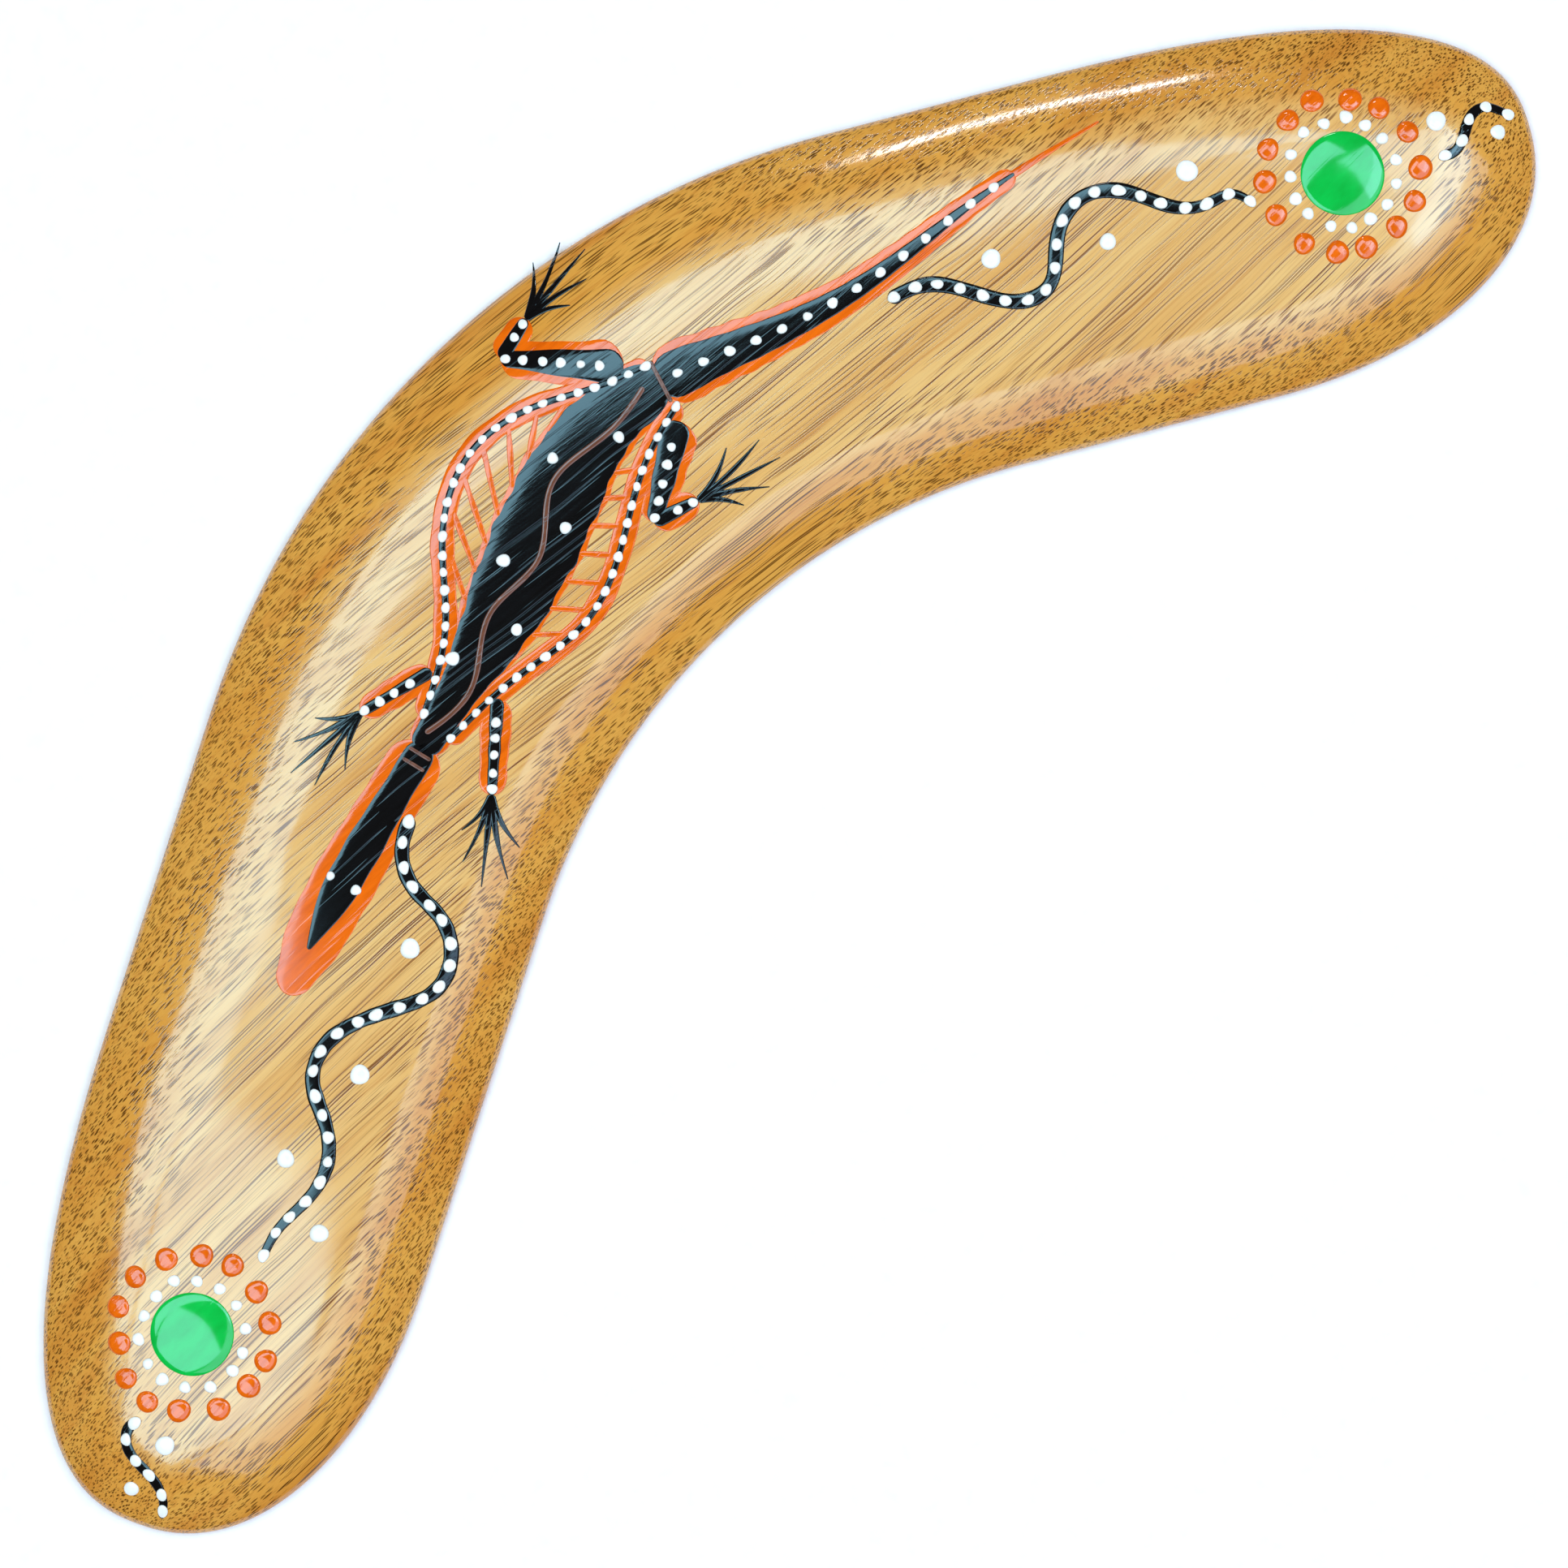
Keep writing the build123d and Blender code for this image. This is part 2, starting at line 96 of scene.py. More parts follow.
# ==== plan of the blank ============================================================
class Arm:
    """One arm: its direction, its outward normal, its length and its two half-widths."""

    def __init__(self, slope, side, length, outer, inner, crossing):
        turn = radians(slope)
        self.out = np.array([side * cos(turn), -sin(turn)])
        self.normal = np.array([side * sin(turn), cos(turn)])
        self.length = length
        self.half = {"outer": outer, "inner": inner}
        self.crossing = crossing

    def at(self, distance, offset):
        """Plan points at distances from the crossing and offsets outwards of the centreline."""
        distance, offset = np.broadcast_arrays(distance, offset)
        return self.crossing + distance[..., None] * self.out + offset[..., None] * self.normal

    def measure(self, plan):
        """Distance along the arm and offset outwards of it, for plan points."""
        return (plan - self.crossing) @ self.out, (plan - self.crossing) @ self.normal

    def quarter(self, level, edge, turn):
        """Superellipse that rounds off the arm: run * cos^(2/e) forward, half * sin^(2/e) across."""
        power = 2 / NOSE_EXPONENT[edge]
        run = NOSE_RUN[edge] - level * NOSE_BEVEL
        half = self.half[edge] - level * BEVEL[edge]
        forward = np.abs(np.cos(turn)) ** power * run
        across = np.abs(np.sin(turn)) ** power * half
        sign = 1 if edge == "outer" else -1
        return self.at(self.length - NOSE_RUN[edge] + forward, sign * across)


def make_arms(crossing):
    """Both arms about one crossing of their centrelines."""
    return {
        "left": Arm(LEFT_SLOPE, -1, LEFT_LENGTH, LEFT_OUTER, LEFT_INNER, crossing),
        "right": Arm(RIGHT_SLOPE, 1, RIGHT_LENGTH, RIGHT_OUTER, RIGHT_INNER, crossing),
    }


class Elbow:
    """The two arcs that join the arms' edges, with their centres on the elbow's axis."""

    def __init__(self, arms):
        left, right = arms["left"], arms["right"]
        half_turn = radians(LEFT_SLOPE + RIGHT_SLOPE) / 2
        axis = left.normal + right.normal
        self.axis = axis / np.linalg.norm(axis)
        self.radius = {"outer": ELBOW_OUTER, "inner": ELBOW_INNER}
        self.centre = {}
        for edge, sign in (("outer", 1), ("inner", -1)):
            halves = [sign * left.half[edge], sign * right.half[edge]]
            corner = np.linalg.solve([left.normal, right.normal], halves) + left.crossing
            self.centre[edge] = corner - self.axis * self.radius[edge] / cos(half_turn)
        apexes = [self.centre[edge] + self.axis * self.radius[edge] for edge in self.centre]
        self.middle = (apexes[0] + apexes[1]) / 2


def edge_points(arms, elbow, level, edge, steps):
    """One long edge from the right nose to the left nose, at levels given as a column."""
    level = np.asarray(level, float).reshape(-1, 1)
    inset = level * BEVEL[edge] * (1 if edge == "outer" else -1)
    radius = elbow.radius[edge] - inset
    turn = np.linspace(0, pi / 2, steps["nose"] + 1)[None, :]
    share = np.linspace(0, 1, steps["side"] + 1)[None, 1:, None]
    right, left = arms["right"], arms["left"]
    start = right.quarter(level, edge, turn)
    tangent = (elbow.centre[edge] + radius[..., None] * right.normal)
    side = start[:, -1:] + (tangent - start[:, -1:]) * share
    angles = [np.arctan2(*arm.normal[::-1]) for arm in (right, left)]
    sweep = np.linspace(*angles, steps["elbow"] + 1)[None, 1:]
    arc = elbow.centre[edge] + radius[..., None] * np.stack([np.cos(sweep), np.sin(sweep)], -1)
    finish = left.quarter(level, edge, turn[:, ::-1])
    other = arc[:, -1:] + (finish[:, :1] - arc[:, -1:]) * share
    return np.concatenate([start, side, arc, other, finish[:, 1:]], axis=1)


OUTLINE_STEPS = {"nose": 110, "side": 130, "elbow": 130}
first_arms = make_arms(np.zeros(2))
first_elbow = Elbow(first_arms)
rim_line = np.concatenate([
    edge_points(first_arms, first_elbow, 0, edge, OUTLINE_STEPS)[0] for edge in ("outer", "inner")
])
CROSSING = -(rim_line.min(0) + rim_line.max(0)) / 2
ARMS = make_arms(CROSSING)
ELBOW = Elbow(ARMS)


# ==== height of the painted face ===================================================
HALVINGS = 24
MOST_LEVEL = 0.999               # share of the level at which the shape shrinks to nothing
WAVES = 9
WAVE_LENGTHS = (10, 60)
WAVES_FADE = 3                   # waves are whole a third of a bevel in from the edge
EDGE_SHARE = 0.8                 # sanding leaves the edge a little fuller than a quarter circle


def nose_level(along, across, run, half, bevel, exponent):
    """Level of the shrinking superellipse through each point, found by repeated halving."""
    low = np.zeros_like(along)
    high = np.full_like(along, min(run / NOSE_BEVEL, half / bevel) * MOST_LEVEL)
    for _ in range(HALVINGS):
        middle = (low + high) / 2
        inside = (along / (run - middle * NOSE_BEVEL)) ** exponent
        inside += (across / (half - middle * bevel)) ** exponent
        low = np.where(inside < 1, middle, low)
        high = np.where(inside < 1, high, middle)
    return low


def edge_level(plan, edge):
    """How many bevels each plan point lies in from one edge: 0 on it, 1 where the bevel ends."""
    sign = 1 if edge == "outer" else -1
    from_centre = plan - ELBOW.centre[edge]
    radial = np.linalg.norm(from_centre, axis=-1)
    level = sign * (ELBOW.radius[edge] - radial) / BEVEL[edge]
    for arm in ARMS.values():
        along, across = arm.measure(plan)
        straight = (arm.half[edge] - sign * across) / BEVEL[edge]
        level = np.where(from_centre @ arm.out > 0, straight, level)
        past = along - (arm.length - NOSE_RUN[edge])
        round_end = (past > 0) & (sign * across >= 0)
        rounded = nose_level(
            np.maximum(past, 0), np.abs(across), NOSE_RUN[edge], arm.half[edge], BEVEL[edge],
            NOSE_EXPONENT[edge],
        )
        level = np.where(round_end, rounded, level)
    return level


def unevenness(plan, amount):
    """Slow hand-sanded waves: a sum of seeded sines in plan, the longer ones the deeper."""
    random = np.random.default_rng(SEEDS["sanding"])
    total = np.zeros(plan.shape[:-1])
    for _ in range(WAVES):
        heading, phase = random.uniform(0, pi), random.uniform(0, 2 * pi)
        wavelength = random.uniform(*WAVE_LENGTHS)
        across = plan @ np.array([cos(heading), sin(heading)])
        total += np.sin(2 * pi * across / wavelength + phase) * wavelength / WAVE_LENGTHS[1]
    return total / WAVES * amount


def face_height(plan, settings):
    """Height of the face: rim, plus the rise of the bevel, plus a shallow crown to the middle.

    The bevel rises as 1 - (1 - level)^exponent and the crown as 1 - (1 - level / last)^2, both
    by the level from the nearer edge, and the edge itself is rounded over by a quarter circle.
    """
    levels = {edge: np.clip(edge_level(plan, edge), 0, None) for edge in BEVEL}
    crown = settings.crown / MM
    rise = THICKNESS - RIM_HEIGHT - crown
    nearest = np.minimum(levels["outer"], levels["inner"])
    climb = 1 - (1 - np.clip(nearest, 0, 1)) ** BEVEL_EXPONENT
    depth = np.clip(nearest / CROWN_LEVEL, 0, 1)
    from_edge = np.clip(nearest * NOSE_BEVEL / EDGE_ROUND, 0, 1)
    rounding = EDGE_ROUND * (1 - np.sqrt(1 - (1 - from_edge) ** 2)) * EDGE_SHARE
    waves = unevenness(plan, settings.unevenness / MM) * np.clip(nearest * WAVES_FADE, 0, 1)
    return RIM_HEIGHT + rise * climb + crown * (1 - (1 - depth) ** 2) - rounding + waves


# ==== meshes =======================================================================
def fill_mesh(mesh, vertices, quads, triangles):
    """Puts millimetre vertices and faces into a mesh, smooth and facing outwards.

    The enclosed volume is a sixth of the sum of the triple products of the faces' corners,
    and every face is turned over if it comes out negative.
    """
    corners = vertices[np.concatenate([quads[:, [0, 1, 2]], quads[:, [0, 2, 3]], triangles])]
    volume = np.einsum("ij,ij->", corners[:, 0], np.cross(corners[:, 1], corners[:, 2]))
    if volume < 0:
        quads, triangles = quads[:, ::-1], triangles[:, ::-1]
    mesh.vertices.add(len(vertices))
    mesh.vertices.foreach_set("co", (vertices * MM).astype(np.float32).ravel())
    mesh.loops.add(quads.size + triangles.size)
    mesh.loops.foreach_set("vertex_index", np.concatenate([quads.ravel(), triangles.ravel()]))
    sizes = np.concatenate([np.full(len(quads), 4), np.full(len(triangles), 3)])
    mesh.polygons.add(len(sizes))
    mesh.polygons.foreach_set("loop_start", np.concatenate([[0], np.cumsum(sizes)[:-1]]))
    mesh.polygons.foreach_set("use_smooth", np.ones(len(sizes), bool))
    mesh.update(calc_edges=True)
    mesh.validate()


def add_piece(name, vertices, quads, triangles, material, slot, node):
    """One finished piece: mesh, material and the CAD node it stands for; the slot argument is not used.
    """
    mesh = bpy.data.meshes.new(name)
    fill_mesh(mesh, vertices, quads, triangles)
    mesh.materials.append(material)
    piece = bpy.data.objects.new(name, mesh)
    bpy.context.scene.collection.objects.link(piece)
    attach(piece, "root")
    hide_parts(node)


def lidded_faces(rings, around):
    """Faces of rings of vertices closed by a pole at each end: pole, ring, ring, ..., pole."""
    here = np.arange(around)
    after = (here + 1) % around
    starts = 1 + np.arange(rings - 1)[:, None] * around
    quads = np.stack([starts + here, starts + after, starts + around + after,
                      starts + around + here], -1).reshape(-1, 4)
    last = 1 + (rings - 1) * around
    first_fan = np.stack([np.zeros(around, int), after + 1, here + 1], -1)
    last_fan = np.stack([np.full(around, last + around), last + here, last + after], -1)
    return quads, np.concatenate([first_fan, last_fan])


class Bundle:
    """Several closed shapes of paint gathered into the mesh of one piece."""

    def __init__(self):
        self.vertices, self.quads, self.triangles, self.count = [], [], [], 0

    def add(self, vertices, quads, triangles):
        """Adds shapes of one pattern: vertices is an array of shape (shapes, points, 3)."""
        vertices = vertices.reshape(-1, *vertices.shape[-2:])
        shapes, points = vertices.shape[:2]
        starts = self.count + np.arange(shapes)[:, None, None] * points
        self.quads.append((quads + starts).reshape(-1, 4))
        self.triangles.append((triangles + starts).reshape(-1, 3))
        self.vertices.append(vertices.reshape(-1, 3))
        self.count += shapes * points

    def piece(self, node, colour):
        """Finishes the paint of one CAD node, in one of the paints."""
        parts = [np.concatenate(part) for part in (self.vertices, self.quads, self.triangles)]
        add_piece(f"{node}_paint", *parts, paint(colour), f"{colour}_paint", node)


# ==== brush strokes ================================================================
POINTS_PER_KNOT = 60             # of a path's fine line
HEADING_STEP = 0.004             # share of a path over which its direction is measured
CAP_STATIONS = 7                 # stations in the rounding of a stroke's end
MOST_CAP = 0.3                   # share of a stroke that its rounded end may take up
COLUMN_WIDTH = 0.25              # spacing of the lines along a stroke
COLUMNS = (4, 30)                # fewest and most, from a stroke's middle to its edge
COAT_SQUARENESS = 6              # power that makes a coat flat with rounded edges
LEAST_STEPS = 6
WOBBLES = 3
WOBBLE_LENGTHS = (3, 14)


def through(knots, values, places):
    """Natural cubic spline through values at knots, worked out at places."""
    knots, values = np.asarray(knots, float), np.asarray(values, float)
    steps, count = np.diff(knots), len(knots)
    matrix, right_side = np.eye(count), np.zeros_like(values)
    inner = np.arange(1, count - 1)
    matrix[inner, inner - 1], matrix[inner, inner + 1] = steps[:-1], steps[1:]
    matrix[inner, inner] = 2 * (steps[:-1] + steps[1:])
    slopes = (np.diff(values, axis=0).T / steps).T
    right_side[1:-1] = 6 * np.diff(slopes, axis=0)
    bends = np.linalg.solve(matrix, right_side)
    spans = np.clip(np.searchsorted(knots, places, side="right") - 1, 0, count - 2)
    width = steps[spans]
    ahead, behind = (knots[spans + 1] - places) / width, (places - knots[spans]) / width
    square = width ** 2 / 6
    return ((values[spans].T * ahead + values[spans + 1].T * behind)
            + bends[spans].T * (ahead ** 3 - ahead) * square
            + bends[spans + 1].T * (behind ** 3 - behind) * square).T


class Path:
    """Smooth plan curve through given points, measured by its length."""

    def __init__(self, points):
        points = np.asarray(points, float)
        knots = np.concatenate([[0], np.cumsum(np.linalg.norm(np.diff(points, axis=0), axis=1))])
        self.dense = through(knots, points, np.linspace(0, knots[-1], POINTS_PER_KNOT * len(points)))
        steps = np.linalg.norm(np.diff(self.dense, axis=0), axis=1)
        self.run = np.concatenate([[0], np.cumsum(steps)])
        self.length = self.run[-1]

    def at(self, share):
        """Plan points at shares of the length."""
        places = np.asarray(share) * self.length
        return np.stack([np.interp(places, self.run, self.dense[:, i]) for i in (0, 1)], -1)

    def heading(self, share):
        """Unit direction at shares of the length."""
        share = np.asarray(share, float)
        before, after = np.clip(share - HEADING_STEP, 0, 1), np.clip(share + HEADING_STEP, 0, 1)
        ahead = self.at(after) - self.at(before)
        return ahead / np.linalg.norm(ahead, axis=-1, keepdims=True)

    def beside(self, share, offset):
        """Plan points at an offset to the left of the path."""
        heading = self.heading(share)
        side = np.stack([-heading[..., 1], heading[..., 0]], -1)
        return self.at(share) + side * np.asarray(offset)[..., None]


def half_width_law(widths, share):
    """Half-width along a stroke: a cubic through the given values, never below the least."""
    if len(widths) == 2:
        return widths[0] + (widths[1] - widths[0]) * share
    law = through(np.linspace(0, 1, len(widths)), widths, share)
    return np.maximum(law, min(widths))


def hand_wobble(random, run, amount):
    """Small changes of a brush stroke's width: a few seeded sines, added up."""
    total = np.zeros_like(run)
    for _ in range(WOBBLES):
        total += np.sin(2 * pi * run / random.uniform(*WOBBLE_LENGTHS) + random.uniform(0, 2 * pi))
    return 1 + amount * total / WOBBLES


def add_stroke(bundle, settings, path, widths, coat, seed, first=0.0, last=1.0, wobble=0.08):
    """Adds a brush stroke draped on the face.

    Stations run along the path, closer at its ends, where the half-width falls to nothing
    as a quarter circle. Across, the coat's height is coat * (1 - side^6)^(1/2), and the
    underside lies just in the wood, so that the stroke is a closed form.
    """
    random = np.random.default_rng(seed)
    length = path.length * (last - first)
    steps = max(LEAST_STEPS, int(length / settings.stroke_step * MM))
    ends = [min(width / length, MOST_CAP) for width in (widths[0], widths[-1])]
    caps = 1 - np.cos(np.linspace(0, pi / 2, CAP_STATIONS))[:-1]
    middle = ends[0] + np.linspace(0, 1, steps + 1) * (1 - ends[0] - ends[1])
    share = np.concatenate([caps * ends[0], middle, 1 - (caps * ends[1])[::-1]])[1:-1]
    cap = np.sqrt(np.clip(1 - np.clip(1 - share / ends[0], 0, 1) ** 2, 0, 1))
    cap *= np.sqrt(np.clip(1 - np.clip(1 - (1 - share) / ends[1], 0, 1) ** 2, 0, 1))
    half = half_width_law(widths, share) * cap
    half = half * hand_wobble(random, share * length, wobble)
    columns = int(np.clip(max(widths) / COLUMN_WIDTH, *COLUMNS))
    side = -np.cos(np.linspace(0, pi, 2 * columns + 1))
    height = coat * np.sqrt(np.clip(1 - np.abs(side) ** COAT_SQUARENESS, 0, 1))
    under = side[-2:0:-max(1, columns // 3)]
    ring_side = np.concatenate([side, under])
    ring_lift = np.concatenate([height, np.full(len(under), -SUNK)])
    ring_lift[[0, 2 * columns]] = -SUNK / 2
    places = first + share * (last - first)
    plan = path.beside(np.repeat(places[:, None], len(ring_side), 1), half[:, None] * ring_side)
    z = face_height(plan, settings) + ring_lift
    poles = path.at(np.array([first, last]))
    tips = np.concatenate([poles, face_height(poles, settings)[:, None]], -1)
    rings = np.concatenate([plan, z[..., None]], -1).reshape(-1, 3)
    vertices = np.concatenate([tips[:1], rings, tips[1:]])
    bundle.add(vertices, *lidded_faces(len(share), len(ring_side)))


# ==== drops of paint ===============================================================
Dot = namedtuple("Dot", "radius rise stretch rings spokes", defaults=(1.0, 5, 16))
DISC = Dot(6.35, 0.55, rings=14, spokes=96)
WHITE_RING_DOT = Dot(0.95, 0.38)
ORANGE_RING_DOT = Dot(1.75, 0.45, rings=7, spokes=28)
TRACK_DOT = Dot(0.85, 0.35, stretch=1.22)
LOOSE_DOT = Dot(None, 0.5, rings=7, spokes=28)      # each has its own radius
BORDER_DOT = Dot(0.68, 0.32, stretch=1.2)
LEG_DOT = Dot(0.75, 0.32)
BACK_DOT = Dot(0.95, 0.38)
TAIL_DOT = Dot(0.75, 0.32, stretch=1.15)
EYE_DOT = Dot(0.8, 0.38)
ROUND_RADIUS = 0.9               # larger drops come out rounder and more alike
RADIUS_SPREAD, RISE_SPREAD = 0.06, 0.08
SWELL = (0.02, 0.07)


def add_drops(bundle, settings, centres, dot, seed, lift=0.0, headings=None, radii=None):
    """Adds domed drops of paint, each a little off round, seated on the face.

    A drop's radius is r * (1 + a cos(2 angle) + b cos(3 angle)), stretched along its heading,
    and its height is rise * (1 - share^3)^(0.6). The foot lies just in the coat beneath.
    """
    random = np.random.default_rng(seed)
    centres = np.asarray(centres, float).reshape(-1, 2)
    count = len(centres)
    radius = np.broadcast_to(np.asarray(dot.radius if radii is None else radii, float), count)
    care = np.clip(ROUND_RADIUS / radius, 0, 1)
    radius = radius * (1 + care * random.normal(0, RADIUS_SPREAD, count))
    if headings is None:
        headings = np.tile([1.0, 0.0], (count, 1))
    angle = np.linspace(0, 2 * pi, dot.spokes, endpoint=False)[None, None, :]
    share = np.sin(np.linspace(0, pi / 2, dot.rings + 1))[None, 1:, None]
    phase = random.uniform(0, 2 * pi, (2, count, 1, 1))
    swell = random.uniform(*SWELL, (2, count, 1, 1)) * care[:, None, None]
    outline = 1 + swell[0] * np.cos(2 * angle + phase[0]) + swell[1] * np.cos(3 * angle + phase[1])
    reach = radius[:, None, None] * outline * share
    forward, across = reach * np.cos(angle) * dot.stretch, reach * np.sin(angle)
    side = np.stack([-headings[:, 1], headings[:, 0]], -1)
    plan = (centres[:, None, None] + forward[..., None] * headings[:, None, None]
            + across[..., None] * side[:, None, None])
    heights = random.normal(1, RISE_SPREAD, (count, 1, 1)) * dot.rise
    dome = heights * np.clip(1 - share ** 3, 0, 1) ** 0.6 + np.zeros_like(reach)
    dome[:, -1] = -SUNK / 2
    z = face_height(plan, settings) + lift + dome
    rings = np.concatenate([plan, z[..., None]], -1).reshape(count, -1, 3)
    middle_z = face_height(centres, settings) + lift
    top = np.concatenate([centres, (middle_z + heights[:, 0, 0])[:, None]], -1)[:, None]
    foot = np.concatenate([centres, (middle_z - SUNK)[:, None]], -1)[:, None]
    bundle.add(np.concatenate([top, rings, foot], 1), *lidded_faces(dot.rings, dot.spokes))


# ==== materials ====================================================================
COAT_IOR, COAT_ROUGHNESS = 1.65, 0.08        # thick clear lacquer, rubbed out to a gloss
FILM_DEPTH = 0.05 * MM                       # how deep pores and brush marks stay under it

# Pores: length, width and depth of a cell, and the distances at which a pore starts and is
# whole. They are drawn a little wider than real ones, so that they show.
LONG_PORES = ((70, 0.34, 0.34), 0.24, 0.45)
FINE_PORES = ((24, 0.3, 0.3), 0.16, 0.32, (3, 7, 5))
PAINTED_PORES = ((60, 0.46, 0.46), 0.2, 0.36)
FACE_SLOPES = (0.995, 0.95)                  # upright part of the normal, on the flat and bevel

GRAIN_MEAN_SLOPE = tan(radians(-3.5))        # grain against the tip-to-tip line
GRAIN_EXTRA_SLOPE = tan(radians(-4.0))       # steepest at the elbow
GRAIN_WAVE = 300 * MM
GRAIN_CENTRE = 10 * MM
GRAIN_WANDER = 3.0 * MM
GRAIN_SINKING = 1.2 * MM

Paint = namedtuple("Paint", "shade streaks ridges roughness")
PAINTS = {
    "black": Paint("#030304", (9, 0.8, 0.8), 0.45, 0.35),
    "orange": Paint("#dc5a00", (8, 0.9, 0.9), 0.35, 0.4),
    "white": Paint("#f4f5ea", (4, 2, 2), 0.05, 0.35),
    "green": Paint("#00ad3a", (6, 3, 3), 0.06, 0.3),
    "brown": Paint("#603726", (5, 0.8, 0.8), 0.25, 0.4),
}


def linear(hex_colour):
    """sRGB hex to linear RGBA: c/12.92 below 0.04045, else ((c + 0.055)/1.055)^2.4."""
    parts = [int(hex_colour[i:i + 2], 16) / 255 for i in (1, 3, 5)]
    return (*[c / 12.92 if c <= 0.04045 else ((c + 0.055) / 1.055) ** 2.4 for c in parts], 1.0)


def add_node(tree, kind, inputs=(), output=0, stops=(), **settings):
    """Adds a node with its settings, a colour ramp's stops and its inputs; gives an output.

    Inputs go by order, or by name or number, and each is a value or the output linked to it.
    """
    node = tree.nodes.new(kind)
    for key, value in settings.items():
        setattr(node, key, value)
    for key, value in inputs.items() if isinstance(inputs, dict) else enumerate(inputs):
        if isinstance(value, bpy.types.NodeSocket):
            tree.links.new(value, node.inputs[key])
        else:
            node.inputs[key].default_value = value
    if stops:
        elements = node.color_ramp.elements
        for element, (place, colour) in zip(elements, (stops[0], stops[-1])):
            element.position, element.color = place, colour
        for place, colour in stops[1:-1]:
            elements.new(place).color = colour
    return node.outputs[output]


def new_material(name):
    """Empty node material with its Principled shader and output."""
    material = bpy.data.materials.new(name)
    material.use_nodes = True
    tree = material.node_tree
    tree.nodes.clear()
    shader = tree.nodes.new("ShaderNodeBsdfPrincipled")
    output = tree.nodes.new("ShaderNodeOutputMaterial")
    tree.links.new(shader.outputs["BSDF"], output.inputs["Surface"])
    return material, tree, shader


def lacquer(tree, shader, colour, roughness, under, over):
    """Colour and roughness of the surface under clear lacquer, and the two layers' normals."""
    tree.links.new(colour, shader.inputs["Base Color"])
    tree.links.new(under, shader.inputs["Normal"])
    tree.links.new(over, shader.inputs["Coat Normal"])
    shader.inputs["Roughness"].default_value = roughness
    shader.inputs["Specular IOR Level"].default_value = 0.0
    shader.inputs["Coat Weight"].default_value = 1.0
    shader.inputs["Coat Roughness"].default_value = COAT_ROUGHNESS
    shader.inputs["Coat IOR"].default_value = COAT_IOR


def marks(tree, vector, lengths_mm, detail, roughness=0.5, shift=(0, 0, 0)):
    """Streaks or blotches of a real length, width and depth: noise in stretched coordinates."""
    scale = [1 / (length * MM) for length in lengths_mm]
    stretched = add_node(tree, "ShaderNodeMapping",
                         {"Vector": vector, "Location": shift, "Scale": scale})
    return add_node(tree, "ShaderNodeTexNoise", {
        "Vector": stretched, "Scale": 1.0, "Detail": detail, "Roughness": roughness})


def pore_field(tree, grain, lengths_mm, thick, thin, shift=(0, 0, 0)):
    """Open pores: long narrow cells round scattered points, 1 in a pore and 0 outside it."""
    scale = [1 / (length * MM) for length in lengths_mm]
    stretched = add_node(tree, "ShaderNodeMapping",
                         {"Vector": grain, "Location": shift, "Scale": scale})
    distance = add_node(tree, "ShaderNodeTexVoronoi",
                        {"Vector": stretched, "Scale": 1.0, "Randomness": 1.0}, "Distance",
                        feature="F1", voronoi_dimensions="3D")
    return add_node(tree, "ShaderNodeMapRange", (distance, thick, thin, 1.0, 0.0),
                    interpolation_type="SMOOTHSTEP")


def grain_space(tree):
    """Object coordinates with the grain straightened out along X.

    A grain line lies at y0 + mean * x + extra * wave / 2pi * sin(2pi (x - centre) / wave), and
    slow noise makes it wander a millimetre or so sideways and in depth.
    """
    raw = add_node(tree, "ShaderNodeTexCoord", output="Object")
    parts = add_node(tree, "ShaderNodeSeparateXYZ", (raw,)).node
    x, y, z = parts.outputs
    turn_rate = 2 * pi / GRAIN_WAVE
    turn = add_node(tree, "ShaderNodeMath", (x, turn_rate, -GRAIN_CENTRE * turn_rate),
                    operation="MULTIPLY_ADD")
    wave = add_node(tree, "ShaderNodeMath", (turn,), operation="SINE")
    wander = add_node(tree, "ShaderNodeMath", (
        marks(tree, raw, (45, 16, 16), 2), GRAIN_WANDER, -GRAIN_WANDER / 2),
        operation="MULTIPLY_ADD")
    sinking = add_node(tree, "ShaderNodeMath", (
        marks(tree, raw, (60, 14, 14), 2, shift=(5, 3, 1)), GRAIN_SINKING, -GRAIN_SINKING / 2),
        operation="MULTIPLY_ADD")
    for part, share in ((x, -GRAIN_MEAN_SLOPE), (wave, -GRAIN_EXTRA_SLOPE / turn_rate), (wander, 1.0)):
        y = add_node(tree, "ShaderNodeMath", (part, share, y), operation="MULTIPLY_ADD")
    z = add_node(tree, "ShaderNodeMath", (z, sinking), operation="ADD")
    return raw, add_node(tree, "ShaderNodeCombineXYZ", (x, y, z))


